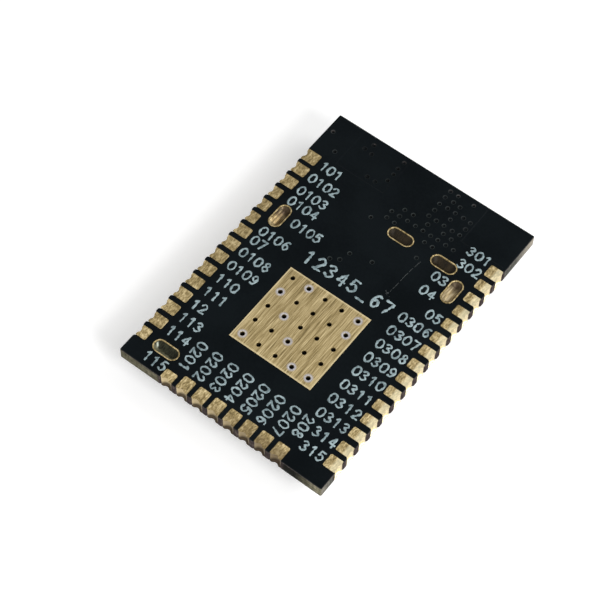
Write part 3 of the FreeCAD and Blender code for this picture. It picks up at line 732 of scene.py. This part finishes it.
class EdgeFrame:
    """Places along one board edge: s runs along the edge and d runs into the board."""

    def __init__(self, start, along, inward, drill_outset):
        self.start = Vector(start)
        self.along = Vector(along)
        self.inward = Vector(inward)
        self.drill_outset = drill_outset
        between_centres = DRILL_RADIUS + TOOTH_ROUNDING
        self.rounding_reach = math.sqrt(between_centres ** 2 - (drill_outset + TOOTH_ROUNDING) ** 2)
        self.shoulder_angle = math.asin(self.rounding_reach / between_centres)

    def point(self, s, d):
        return self.start + self.along * s + self.inward * d

    def on_drill(self, radius, angle):
        """A point round the drill's axis, from the middle of its half-hole on the cut edge."""
        return radius * math.sin(angle), radius * math.cos(angle) - self.drill_outset

    def position(self, point):
        """How far along the edge a point of the module lies."""
        return (point.to_2d() - self.start).dot(self.along)


left_edge = EdgeFrame((-half_width, half_length), (0, -1), (1, 0), DRILL_OUTSET - CUT_SHIFT)
end_edge = EdgeFrame((-half_width, -half_length), (1, 0), (0, 1), DRILL_OUTSET)
right_edge = EdgeFrame((half_width, -half_length), (0, 1), (-1, 0), DRILL_OUTSET + CUT_SHIFT)


def steps(first, last, count):
    """Evenly spaced values, both ends included."""
    return [first + (last - first) * i / count for i in range(count + 1)]


def places_on(edge, prefix):
    """Where the contacts with this name stand along an edge, in the edge's own direction."""
    return sorted(edge.position(node_centre(name)) for name in numbered(prefix))


def notched_edge(edge, places, inset):
    """Points along one edge from its rounded start corner, set in from the true outline."""
    radius = BOARD_CORNER - inset
    points = [
        edge.point(BOARD_CORNER - radius * math.cos(a), BOARD_CORNER - radius * math.sin(a))
        for a in steps(0, math.pi / 2, CORNER_STEPS)
    ]
    tooth = TOOTH_ROUNDING - inset
    for s in places:
        shoulder = [
            (edge.rounding_reach - tooth * math.sin(a), TOOTH_ROUNDING - tooth * math.cos(a))
            for a in steps(0, edge.shoulder_angle, TOOTH_STEPS)
        ]
        turns = steps(-edge.shoulder_angle, edge.shoulder_angle, DRILL_STEPS)
        notch = [edge.on_drill(DRILL_RADIUS + inset, a) for a in turns]
        points += [edge.point(s - reach, depth) for reach, depth in shoulder]
        points += [edge.point(s + reach, depth) for reach, depth in notch[1:-1]]
        points += [edge.point(s + reach, depth) for reach, depth in reversed(shoulder)]
    return points


def board_outline(inset):
    """The board's outline, anticlockwise from the corner at lowest x and y."""
    points = notched_edge(end_edge, places_on(end_edge, "contact_end_"), inset)
    points += notched_edge(right_edge, places_on(right_edge, "contact_right_"), inset)
    radius = BOARD_CORNER - inset
    centre = Vector((half_width - BOARD_CORNER, half_length - BOARD_CORNER))
    points += [
        centre + Vector((radius * math.cos(a), radius * math.sin(a)))
        for a in steps(0, math.pi / 2, CORNER_STEPS)
    ]
    points += notched_edge(left_edge, places_on(left_edge, "contact_left_"), inset)
    return points


def circle(x, y, radius, count):
    """Points on a circle, anticlockwise."""
    return [
        (x + radius * math.cos(2 * math.pi * i / count), y + radius * math.sin(2 * math.pi * i / count))
        for i in range(count)
    ]


def stadium(centre, size, inset):
    """Points on a round-ended slot, anticlockwise. A negative inset widens it."""
    width, length = size.x - 2 * inset, size.y - 2 * inset
    radius = min(width, length) / 2
    along_x = width > length
    straight = max(width, length) / 2 - radius
    points = []
    for side in (1, -1):
        for a in steps(-math.pi / 2, math.pi / 2, SLOT_STEPS):
            u = side * (straight + radius * math.cos(a))
            v = side * radius * math.sin(a)
            points.append((centre.x + u, centre.y + v) if along_x else (centre.x - v, centre.y + u))
    return points


def slot_nodes():
    """Centre and outer size of each slot lining's rim, by the node's name."""
    found = {}
    for name in numbered("slot_lining_"):
        low, high = node_box(name)
        found[name] = ((low + high) / 2, high - low)
    return found


def thermal_via_places():
    """Centres of the vias in the ground pad."""
    centre = node_centre("ground_pad")
    reach = THERMAL_VIA_PITCH * (THERMAL_VIA_COUNT - 1) / 2
    offsets = steps(-reach, reach, THERMAL_VIA_COUNT - 1)
    return [(centre.x + dx, centre.y + dy) for dy in offsets for dx in offsets]


def thermal_via_openings():
    """The outline of each via in the ground pad. It takes how much to widen it."""
    return [
        lambda wider, x=x, y=y: circle(x, y, THERMAL_VIA_RADIUS + wider, VIA_STEPS)
        for x, y in thermal_via_places()
    ]


def slot_opening(centre, size):
    """The outline of the open part of a slot. It takes how much to widen it."""
    return lambda wider: stadium(centre, size, SLOT_RIM - wider)


def field_places(start_x, start_y, rows):
    """Centres on the stitching grid, one for each letter o in the rows."""
    return [
        (start_x + STITCH_PITCH * column, start_y - STITCH_PITCH * row)
        for row, text in enumerate(rows) for column, mark in enumerate(text) if mark == "o"
    ]


def small_via_places():
    """Centres of all the tented vias."""
    receptacle = node_centre("receptacle_base")
    reach = STITCH_PITCH * (len(RECEPTACLE_FIELD) - 1) / 2
    places = field_places(receptacle.x - reach, receptacle.y + reach, RECEPTACLE_FIELD)
    slot = node_centre("slot_lining_antenna_end_1")
    places += field_places(slot.x + SLOT_FIELD_START[0], slot.y + SLOT_FIELD_START[1], SLOT_FIELD)
    antenna = node_centre("antenna_block")
    places += field_places(
        antenna.x + ANTENNA_FIELD_START[0], antenna.y + ANTENNA_FIELD_START[1], ANTENNA_FIELD)
    return places + list(LOOSE_VIAS)


def mask_height(x, y):
    """Height of the mask over the laminate's own top: lower in the windows without copper."""
    for (low_x, high_x), (low_y, high_y) in MASK_WINDOWS:
        inside = min(x - low_x, high_x - x, y - low_y, high_y - y)
        if inside > 0:
            return -WINDOW_DEPTH * min(1.0, inside / WINDOW_SLOPE)
    return 0.0


def rectangle(limits, inset):
    """Four corners, anticlockwise, set in from the limits in x and in y."""
    (low_x, high_x), (low_y, high_y) = limits
    low_x, low_y, high_x, high_y = low_x + inset, low_y + inset, high_x - inset, high_y - inset
    return [(low_x, low_y), (high_x, low_y), (high_x, high_y), (low_x, high_y)]


def rounded_rings(solid, outline, rounding, upper, lower):
    """Rings down a wall with a rounded edge at its top and bottom. The outline takes an inset."""
    rings = []
    for turn in steps(0, math.pi / 2, ROUNDING_STEPS):
        inset = rounding * (1 - math.sin(turn))
        rings.append(solid.flat_ring(outline(inset), upper - rounding * (1 - math.cos(turn))))
    for turn in steps(math.pi / 2, 0, ROUNDING_STEPS):
        inset = rounding * (1 - math.sin(turn))
        rings.append(solid.flat_ring(outline(inset), lower + rounding * (1 - math.cos(turn))))
    return rings


def add_crater(solid, x, y):
    """A small crater in the mask over a tented via, and its outer ring."""
    x += random.uniform(-VIA_WANDER, VIA_WANDER)
    y += random.uniform(-VIA_WANDER, VIA_WANDER)
    base = board_top + mask_height(x, y)
    scale = random.uniform(*CRATER_SIZES)
    depth = random.uniform(*CRATER_DEPTHS)
    rings = [
        solid.flat_ring(circle(x, y, radius * scale, CRATER_STEPS), base + rise * (depth if rise < 0 else 1))
        for radius, rise in CRATER_PROFILE
    ]
    solid.bore(rings)
    solid.faces.append(rings[-1])
    return rings[0]


def make_board(paint):
    """The laminate with its mask: rounded edges, open slots and vias, and a crater at each tented via."""
    solid = Solid()
    outline = rounded_rings(solid, board_outline, BOARD_EDGE_ROUNDING, board_top, board_bottom)
    solid.loft(outline)
    openings = [slot_opening(centre, size) for centre, size in slot_nodes().values()]
    holes = [solid.board_rings(opening(PLATING)) for opening in openings + thermal_via_openings()]
    for rings in holes:
        solid.bore(rings)
    craters = [add_crater(solid, x, y) for x, y in small_via_places()]
    creases = []
    for limits in MASK_WINDOWS:
        creases.append(solid.flat_ring(rectangle(limits, 0.0), board_top))
        creases.append(solid.flat_ring(rectangle(limits, WINDOW_SLOPE), board_top - WINDOW_DEPTH))
    solid.cap(outline[0], [upper for upper, lower in holes] + craters, creases)
    solid.cap(outline[-1], [lower for upper, lower in holes], upward=False)
    piece = solid.make("board", paint, "board")
    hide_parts("circuit_board")


def contact_loop(edge, width, length):
    """A contact's outline: its half-hole, then its land, as points with their rounding and drill angle."""
    end_angle = min(edge.shoulder_angle, math.asin(min(1.0, width / 2 / DRILL_RADIUS)))
    end_s, end_d = edge.on_drill(DRILL_RADIUS, end_angle)
    arc = []
    for a in steps(-end_angle, end_angle, DRILL_STEPS):
        share = min(1.0, (end_angle - abs(a)) / (end_angle * LIP_FADE))
        radius = DRILL_RADIUS - PLATING * math.sin(share * math.pi / 2)
        rounding = LAND_ROUNDING + (LIP_ROUNDING - LAND_ROUNDING) * share
        arc.append((edge.on_drill(radius, a), rounding, a))
    half = max(width / 2, end_s + LAND_MARGIN)
    has_step = half > end_s + LAND_STEP
    land = [(half, end_d + LAND_STEP)] if has_step else []
    for side, first, last in ((1, 0, math.pi / 2), (-1, math.pi / 2, 0)):
        for a in steps(first, last, CORNER_STEPS):
            s = side * (half - LAND_CORNER + LAND_CORNER * math.cos(a))
            land.append((s, length - LAND_CORNER + LAND_CORNER * math.sin(a)))
    if has_step:
        land.append((-half, end_d + LAND_STEP))
    return arc, [(point, LAND_ROUNDING, None) for point in land]


def inward_directions(points):
    """For each corner of a clockwise loop, the step that moves both its sides in by one unit."""
    found = []
    count = len(points)
    for i, point in enumerate(points):
        before = (point - points[i - 1]).normalized()
        after = (points[(i + 1) % count] - point).normalized()
        normal_before = Vector((before.y, -before.x))
        normal_after = Vector((after.y, -after.x))
        middle = (normal_before + normal_after).normalized()
        found.append(middle / max(0.5, middle.dot(normal_before)))
    return found


def make_contact(name, edge, paint):
    """One plated half-hole: a land on each face with rounded edges, and the curved wall between them."""
    low, high = node_box(name)
    width = high.x - low.x if edge.along.x else high.y - low.y
    place = edge.position(node_centre(name))
    arc, land = contact_loop(edge, width, depth_from_edge(edge, low, high))
    loop = arc + land
    inward = inward_directions([Vector(point) for point, rounding, angle in loop])
    solid = Solid()

    def ring_at(turn, z_of):
        points = []
        for (point, rounding, angle), direction in zip(loop, inward):
            spot = Vector(point) + direction * rounding * (1 - math.sin(turn))
            points.append((*edge.point(place + spot.x, spot.y), z_of(rounding * (1 - math.cos(turn)))))
        return solid.ring(points)

    top = [ring_at(turn, lambda drop: land_top - drop) for turn in steps(0, math.pi / 2, ROUNDING_STEPS)]
    bottom = [
        ring_at(turn, lambda drop: land_bottom + drop) for turn in steps(math.pi / 2, 0, ROUNDING_STEPS)
    ]
    drilled = (edge.on_drill(DRILL_RADIUS, angle) for point, rounding, angle in arc[1:-1])
    backs = solid.board_rings([edge.point(place + s, d) for s, d in drilled])
    arcs = [rim[:len(arc)] for rim in (top[-1], bottom[0])]
    sides = [rim[len(arc) - 1:] + rim[:1] for rim in (top[-1], bottom[0])]
    rims = [
        solid.flat_ring([solid.points[i].to_2d() for i in side], z)
        for side, z in zip(sides, (board_top, board_bottom))
    ]
    solid.loft(top)
    solid.loft(bottom)
    solid.bridge(*arcs, closed=False)
    solid.bridge(sides[0], rims[0], closed=False)
    solid.bridge(rims[1], sides[1], closed=False)
    solid.bridge(*([rim[0], *back[::-1], rim[-1]] for rim, back in zip(rims, backs)), closed=False)
    solid.cap(rims[0] + backs[0], upward=False)
    solid.cap(rims[1] + backs[1])
    solid.cap(top[0])
    solid.cap(bottom[-1], upward=False)
    piece = solid.make(name + "_plated", paint, "gold_plating", 50)
    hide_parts(name)


def depth_from_edge(edge, low, high):
    """How far a node reaches into the board from an edge."""
    corners = [Vector((x, y)) for x in (low.x, high.x) for y in (low.y, high.y)]
    return max((corner - edge.start).dot(edge.inward) for corner in corners)


def make_contacts(paint):
    """All the contacts on the three edges."""
    for side, edge in (("left", left_edge), ("right", right_edge), ("end", end_edge)):
        for name in numbered("contact_%s_" % side):
            make_contact(name, edge, paint)


def make_plating(name, paint, outline, openings, rounding):
    """A gold plate on each face, and plated openings through both. The outline takes an inset."""
    solid = Solid()
    top_plate, bottom_plate = (
        rounded_rings(solid, outline, LAND_ROUNDING / 2, *levels)
        for levels in ((land_top, board_top), (board_bottom, land_bottom))
    )
    solid.loft(top_plate)
    solid.loft(bottom_plate)
    bores, barrels = [], []
    for opening in openings:
        bores.append(rounded_rings(solid, opening, rounding, land_top, land_bottom))
        barrels.append(solid.board_rings(opening(PLATING)))
        solid.bore(bores[-1])
        solid.loft(barrels[-1])
    solid.cap(top_plate[0], [bore[0] for bore in bores])
    solid.cap(top_plate[-1], [upper for upper, lower in barrels], upward=False)
    solid.cap(bottom_plate[0], [lower for upper, lower in barrels])
    solid.cap(bottom_plate[-1], [bore[-1] for bore in bores], upward=False)
    piece = solid.make(name + "_plated", paint, "gold_plating")
    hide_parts(name)


def make_ground_pad(paint):
    """The square pad on each face, with its vias plated through."""
    low, high = node_box("ground_pad")
    limits = ((low.x, high.x), (low.y, high.y))
    make_plating("ground_pad", paint, partial(rectangle, limits), thermal_via_openings(), LAND_ROUNDING)


def make_slot_linings(paint):
    """The plated wall and the two rims of each oval slot."""
    for name, (centre, size) in slot_nodes().items():
        outline = partial(stadium, centre, size)
        make_plating(name, paint, outline, [slot_opening(centre, size)], SLOT_LIP_ROUNDING)


def make_halos(paint):
    """Thin rings of solder that crept out of some of the vias."""
    solid = Solid()
    places = thermal_via_places()
    for rough_place in HALO_PLACES:
        x, y = min(places, key=lambda place: math.dist(place, rough_place))
        phase = random.uniform(0, 10)
        size = random.uniform(*HALO_SIZES)
        rings = []
        for share, rise in HALO_PROFILE:
            points = []
            for i in range(2 * VIA_STEPS):
                a = math.pi * i / VIA_STEPS
                ragged = HALO_RAGGEDNESS * noise.noise(Vector((math.cos(a) + phase, math.sin(a), phase)))
                outer = HALO_RADIUS * size * (1 + ragged)
                radius = outer + (THERMAL_VIA_RADIUS + HALO_GAP - outer) * share
                points.append((x + radius * math.cos(a), y + radius * math.sin(a)))
            rings.append(solid.flat_ring(points, land_top - HALO_SINK + (HALO_HEIGHT + HALO_SINK) * rise))
        solid.bore(rings)
        solid.bridge(rings[0], rings[-1])
    solid.make("solder_rings", paint, "solder")


def make_slot_fill(name, centre, size, outward, paint):
    """Solder that runs from the slot's wall over the tip of the can's tab, hollow in between."""
    solid = Solid()
    along_x = size.x > size.y
    half_opening = min(size.x, size.y) / 2 - SLOT_RIM
    phase = random.uniform(0, 50)
    ridge_height = TAB_RIDGES.get(name, FLAT_RIDGE)

    def distance_to_line(x, y):
        reach = max(size.x, size.y) / 2 - SLOT_RIM - half_opening
        along, across = (x - centre.x, y - centre.y) if along_x else (y - centre.y, x - centre.x)
        return math.hypot(max(0.0, abs(along) - reach), across)

    def surface(x, y):
        offset = (Vector((x, y)) - centre.to_2d()).dot(outward)
        inside = 1 - min(1.0, distance_to_line(x, y) / half_opening)
        sag = FILL_SAG * math.sin(inside * math.pi / 2)
        ridge = ridge_height * math.exp(-((offset - TAB_OFFSET) / RIDGE_WIDTH) ** 2) * inside
        ripple_place = Vector((x * FILL_RIPPLE_WAVES, y * FILL_RIPPLE_WAVES, phase))
        ripple = FILL_RIPPLE * noise.noise(ripple_place) * inside
        return board_top - FILL_HEM - sag + ridge + ripple

    rings = []
    for share in steps(0, 1, FILL_STEPS):
        points = stadium(centre, size, SLOT_RIM - FILL_OVERLAP + half_opening * FILL_REACH * share)
        rings.append(solid.ring((x, y, surface(x, y)) for x, y in points))
    floor = solid.flat_ring(stadium(centre, size, SLOT_RIM - FILL_OVERLAP), board_top - FILL_DEPTH)
    solid.bore(rings)
    solid.bridge(rings[0], floor)
    last = rings[-1]
    for i in range(len(last) // 2 - 1):
        solid.faces.append((last[i], last[i + 1], last[-2 - i], last[-1 - i]))
    solid.cap(floor, upward=False)
    solid.make(name, paint, "solder", 50)


def make_slot_fills(paints):
    """The soldered joint in each slot."""
    for name, (centre, size) in slot_nodes().items():
        short_name = name.removeprefix("slot_lining_")
        paint = paints.get(short_name + "_fill", paints["dark_fill"])
        if size.x > size.y:
            outward = Vector((0, 1)) if centre.y > 0 else Vector((0, -1))
        else:
            outward = Vector((1, 0)) if centre.x > 0 else Vector((-1, 0))
        make_slot_fill("slot_solder_" + short_name, centre, size, outward, paint)


# Digits as strokes in a box one wide and one high. A stroke is straight or smooth, and open or closed
GLYPHS = {
    "0": [("loop", (0.5, 1.0), (0.93, 0.76), (0.93, 0.24), (0.5, 0.0), (0.07, 0.24), (0.07, 0.76))],
    "1": [("line", (0.22, 0.80), (0.56, 1.0), (0.56, 0.0))],
    "2": [("curve", (0.10, 0.76), (0.45, 1.0), (0.86, 0.76), (0.62, 0.42), (0.08, 0.0)),
          ("line", (0.08, 0.0), (0.92, 0.0))],
    "3": [("curve", (0.10, 0.86), (0.48, 1.0), (0.84, 0.78), (0.42, 0.54)),
          ("curve", (0.42, 0.54), (0.92, 0.27), (0.46, 0.0), (0.06, 0.14))],
    "4": [("line", (0.70, 0.0), (0.70, 1.0), (0.06, 0.30), (0.96, 0.30))],
    "5": [("line", (0.86, 1.0), (0.22, 1.0), (0.15, 0.56)),
          ("curve", (0.15, 0.56), (0.55, 0.66), (0.91, 0.34), (0.5, 0.0), (0.08, 0.13))],
    "6": [("curve", (0.82, 0.93), (0.42, 0.92), (0.12, 0.42),
           (0.48, 0.0), (0.90, 0.30), (0.50, 0.60), (0.14, 0.36))],
    "7": [("line", (0.06, 1.0), (0.92, 1.0), (0.38, 0.0))],
    "8": [("loop", (0.5, 1.0), (0.82, 0.78), (0.5, 0.55), (0.18, 0.78)),
          ("loop", (0.5, 0.55), (0.92, 0.28), (0.5, 0.0), (0.08, 0.28))],
    "9": [("curve", (0.18, 0.07), (0.58, 0.08), (0.88, 0.58),
           (0.52, 1.0), (0.10, 0.70), (0.50, 0.40), (0.86, 0.64))],
    "_": [("line", (0.0, -0.10), (0.9, -0.10))],
}


def stroke_path(kind, points, height):
    """A stroke as closely spaced points, in millimetres."""
    spots = [Vector((x * GLYPH_WIDTH * height, y * height)) for x, y in points]
    if kind == "line":
        path = []
        for a, b in zip(spots, spots[1:]):
            count = max(2, round((b - a).length / PATH_STEP))
            path += [a.lerp(b, i / count) for i in range(count)]
        return path + [spots[-1]], False
    closed = kind == "loop"
    if closed:
        ends = spots[-1:] + spots + spots[:2]
    else:
        ends = [2 * spots[0] - spots[1]] + spots + [2 * spots[-1] - spots[-2]]
    path = []
    for p0, p1, p2, p3 in zip(ends, ends[1:], ends[2:], ends[3:]):
        count = max(3, round((p2 - p1).length / PATH_STEP))
        for i in range(count):
            t = i / count
            path.append(0.5 * (
                2 * p1 + (p2 - p0) * t + (2 * p0 - 5 * p1 + 4 * p2 - p3) * t * t
                + (3 * p1 - p0 - 3 * p2 + p3) * t ** 3))
    return (path, True) if closed else (path + [spots[-1]], False)


def add_bead(solid, path, closed, width, place):
    """A flat, slightly ragged bead of ink along a path. The place turns and moves it onto the board."""
    count = len(path)
    rings = []
    phase = random.uniform(0, 100)
    for i, spot in enumerate(path):
        before = path[i - 1] if closed or i else spot
        after = path[(i + 1) % count] if closed or i < count - 1 else spot
        ahead = (after - before).normalized()
        side = Vector((-ahead.y, ahead.x))
        swell_place = Vector((spot.x * BEAD_SWELL_WAVES + phase, spot.y * BEAD_SWELL_WAVES, 0.0))
        swell = 1 + BEAD_SWELL * noise.noise(swell_place)
        drift_place = Vector((spot.x * BEAD_DRIFT_WAVES, spot.y * BEAD_DRIFT_WAVES + phase, 3.0))
        drift = BEAD_DRIFT * width * noise.noise(drift_place)
        rings.append((spot + side * drift, ahead, side, width / 2 * swell, 1.0))
    if not closed:
        for at_start in (True, False):
            spot, ahead, side, half, rise = rings[0] if at_start else rings[-1]
            caps = []
            for turn in BEAD_END_TURNS:
                away = ahead * half * turn * (-1 if at_start else 1)
                shrink = math.sqrt(1 - turn * turn)
                caps.append((spot + away, ahead, side, half * shrink, shrink))
            rings = caps[::-1] + rings if at_start else rings + caps
    numbers = []
    for spot, ahead, side, half, rise in rings:
        points = []
        for a in steps(0, math.pi, BEAD_STEPS):
            flat = place(spot + side * half * math.cos(a))
            level = board_top + mask_height(flat.x, flat.y) - INK_SINK
            points.append((*flat, level + (INK_THICKNESS + INK_SINK) * rise * math.sin(a) ** BEAD_FULLNESS))
        numbers.append(solid.ring(points))
    solid.loft(numbers)
    if closed:
        solid.bridge(numbers[-1], numbers[0])
    else:
        solid.faces += [numbers[0], numbers[-1][::-1]]


def random_step(reach):
    """A small move in the plane of the board."""
    return Vector((random.uniform(-reach, reach), random.uniform(-reach, reach)))


def add_text(solid, text, x, y, height, stroke, degrees=0.0, anchor=0.0, spacing=GLYPH_ADVANCE):
    """Print a row of digits. The anchor is the share of its length that lies before x."""
    advance = spacing * height
    length = advance * (len(text) - 1) + GLYPH_WIDTH * height
    turn = Matrix.Rotation(math.radians(degrees), 2)
    for index, letter in enumerate(text):
        shift = Vector((index * advance - anchor * length, -height / 2))
        shift += random_step(GLYPH_WANDER)
        for kind, *points in GLYPHS[letter]:
            path, closed = stroke_path(kind, points, height)
            add_bead(solid, path, closed, stroke, lambda spot: Vector((x, y)) + turn @ (spot + shift))


def label(row, number, two=(), three=()):
    """A contact's plain number in four digits, or in fewer where there is less room."""
    if number in two:
        return "%02d" % number
    return ("%d%02d" if number in three else "%02d%02d") % (row, number)


def make_print(paint):
    """Plain numbers beside the contacts, and one row of digits above the pad."""
    left, right, end, title = (Solid() for place in range(4))
    for number, name in enumerate(numbered("contact_left_"), 1):
        text = label(1, number, two=(7, 12), three=(1, 10, 11, 13, 14, 15))
        y = node_centre(name).y + LEFT_PRINT_SHIFTS.get(number, LEFT_PRINT_SHIFT)
        x, y = LEFT_PRINT_PLACES.get(number, (LEFT_PRINT_START, y))
        add_text(left, text, x, y, CAP_HEIGHT, STROKE_WIDTH)
    for number, name in enumerate(numbered("contact_right_"), 1):
        text = label(3, number, two=(3, 4, 5), three=(1, 2, 14, 15))
        x = RIGHT_PRINT_ENDS.get(number, RIGHT_PRINT_END)
        y = node_centre(name).y + RIGHT_PRINT_SHIFTS.get(number, RIGHT_PRINT_SHIFT)
        add_text(right, text, x, y, CAP_HEIGHT, STROKE_WIDTH, anchor=1.0)
    for number, name in enumerate(numbered("contact_end_"), 1):
        x = node_centre(name).x + END_PRINT_SHIFTS.get(number, END_PRINT_SHIFT)
        add_text(end, label(2, number, three=(8,)), x, END_PRINT_Y, CAP_HEIGHT, STROKE_WIDTH, degrees=-90)
    add_text(
        title, TITLE_TEXT, *TITLE_PLACE, TITLE_HEIGHT, TITLE_STROKE_WIDTH, anchor=0.5, spacing=TITLE_ADVANCE)
    for place, solid in (("left", left), ("right", right), ("end", end), ("title", title)):
        solid.make("print_" + place, paint, "pale_ceramic", INK_SMOOTHING)


def make_scratch(paint):
    """A broken hairline scratch across the mask, with a little dust at its end."""
    solid = Solid()
    path = []
    for (x0, y0), (x1, y1) in zip(SCRATCH, SCRATCH[1:]):
        count = round(math.dist((x0, y0), (x1, y1)) / SCRATCH_STEP)
        path += [Vector((x0 + (x1 - x0) * i / count, y0 + (y1 - y0) * i / count)) for i in range(count)]
    run = []
    for i, spot in enumerate(path):
        wander = SCRATCH_WANDER * noise.noise(Vector((spot.y * SCRATCH_WAVES, 3.0, 0.0)))
        run.append(spot + Vector((wander, 0.0)))
        is_broken = noise.noise(Vector((i * SCRATCH_BREAK_WAVES, 8.0, 0.0))) > SCRATCH_BREAK_LEVEL
        if is_broken or i == len(path) - 1:
            if len(run) > 2:
                add_bead(solid, run, False, random.uniform(*SCRATCH_WIDTHS), lambda point: point)
            run = []
    for i in range(DUST_COUNT):
        start = Vector(SCRATCH[-1]) + Vector([random.gauss(0, spread) for spread in DUST_SPREAD])
        step = random_step(DUST_STEP)
        grain = [start, start + step, start + 2 * step]
        add_bead(solid, grain, False, random.uniform(*DUST_WIDTHS), lambda point: point)
    solid.make("scratch", paint, "board", INK_SMOOTHING)


# Finishes of the parts that keep their own shape, and the parts that get rounded edges: node, piece,
# finish, slot and the width of the rounding
PLAIN_PARTS = {
    "shield_can": "sheet",
    "chip_body": "mould",
    "chip_lands": "solder",
    "inductor": "white",
    "resistor": "black",
}
SOFT_PARTS = (
    ("antenna_block", "antenna_ceramic", "white", "pale_ceramic", 0.03),
    ("antenna_ends", "antenna_caps", "solder", "solder", 0.02),
    ("receptacle_base", "receptacle_insulator", "cream", "receptacle_insulator", 0.03),
    ("receptacle_shell", "receptacle_ring", "bright_gold", "receptacle_metal", 0.02),
    ("receptacle_pin", "receptacle_contact", "bright_gold", "receptacle_metal", 0.02),
)

FLAT_DEGREES = 2
SHARP_DEGREES = 35


def soften(name, new_name, paint, width):
    """A copy of a node with its sharp edges rounded."""
    mesh = nodes[name].data.copy()
    mesh.materials.clear()
    shape = bmesh.new()
    shape.from_mesh(mesh)
    bmesh.ops.remove_doubles(shape, verts=shape.verts, dist=COARSE_MERGE_DISTANCE)
    flat_angle, sharp_angle = math.radians(FLAT_DEGREES), math.radians(SHARP_DEGREES)
    bmesh.ops.dissolve_limit(
        shape, angle_limit=flat_angle, verts=shape.verts, edges=shape.edges, delimit={"NORMAL"})
    sharp = [edge for edge in shape.edges if edge.is_manifold and edge.calc_face_angle() > sharp_angle]
    bmesh.ops.bevel(
        shape, geom=sharp, offset=width * MM, segments=3, profile=0.5, affect="EDGES", clamp_overlap=True)
    shape.to_mesh(mesh)
    shape.free()
    piece = finish_piece(new_name, mesh, paint, weighted=True)
    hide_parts(name)


def paint_hidden_side(paints):
    """The can, the chip and the parts beside it. What shows past the can's edge gets rounded edges."""
    plain = dict(PLAIN_PARTS)
    plain.update({name: "brown" for name in numbered("capacitor_")})
    for name, finish in plain.items():
        nodes[name].data.materials.clear()
        nodes[name].data.materials.append(paints[finish])
    for name, new_name, finish, slot, width in SOFT_PARTS:
        soften(name, new_name, paints[finish], width)


def aim(thing, place, target, roll=0.0):
    """Put a camera or a lamp at a place, so that it looks at the target."""
    turn = (target - place).to_track_quat("-Z", "Y").to_matrix() @ Matrix.Rotation(roll, 3, "Z")
    thing.matrix_world = Matrix.Translation(place * MM) @ turn.to_4x4()


def make_camera():
    """The photograph's view."""
    data = bpy.data.cameras.new("camera")
    data.lens = CAMERA_LENS
    data.sensor_width = SENSOR_WIDTH
    data.clip_start = CLIP_START * MM
    camera = add_object("camera", data)
    aim(camera, CAMERA_PLACE, CAMERA_TARGET, CAMERA_ROLL)
    bpy.context.scene.camera = camera


def make_lamps():
    """Soft square lamps that look at the module."""
    for name, place, size, power in LAMPS:
        data = bpy.data.lights.new(name, "AREA")
        data.size = size * MM
        data.energy = power
        aim(add_object(name, data), Vector(place), Vector())


def make_world():
    """A white background that lights the scene less than it shows."""
    world = bpy.data.worlds.new("studio")
    bpy.context.scene.world = world
    tree = Tree(world)
    background = tree.nodes["Background"]
    tree.feed((1.0, 1.0, 1.0), background.inputs["Color"])
    strength = tree.span(tree.seen_by_mirror_or_camera(), 0.0, 1.0, WORLD_LIGHT, 1.0)
    tree.feed(strength, background.inputs["Strength"])


def make_floor():
    """A pale floor that glows a little, so that it shows nearly white."""
    mesh = bpy.data.meshes.new("floor")
    reach = FLOOR_REACH * MM
    corners = rectangle(((-reach, reach), (-reach, reach)), 0.0)
    mesh.from_pydata([(x, y, 0) for x, y in corners], [], [(0, 1, 2, 3)])
    floor = add_object("floor", mesh)
    paint = Paint("floor")
    paint.set(Base_Color=(FLOOR_GREY,) * 3, Roughness=0.9, Specular_IOR_Level=0.0)
    glow = paint.seen_by_mirror_or_camera() * FLOOR_GLOW
    paint.set(Emission_Color=(1.0, 1.0, 1.0), Emission_Strength=glow)
    mesh.materials.append(paint.material)


def main():
    paints = make_paints()
    make_camera()
    make_world()
    make_lamps()
    make_floor()
    make_board(paints["board"])
    make_contacts(paints["contact"])
    make_ground_pad(paints["pad"])
    make_halos(paints["halo"])
    make_slot_linings(paints["lining"])
    make_slot_fills(paints)
    make_print(paints["ink"])
    make_scratch(paints["scratch"])
    paint_hidden_side(paints)
    bpy.context.scene.view_settings.view_transform = "Standard"


main()
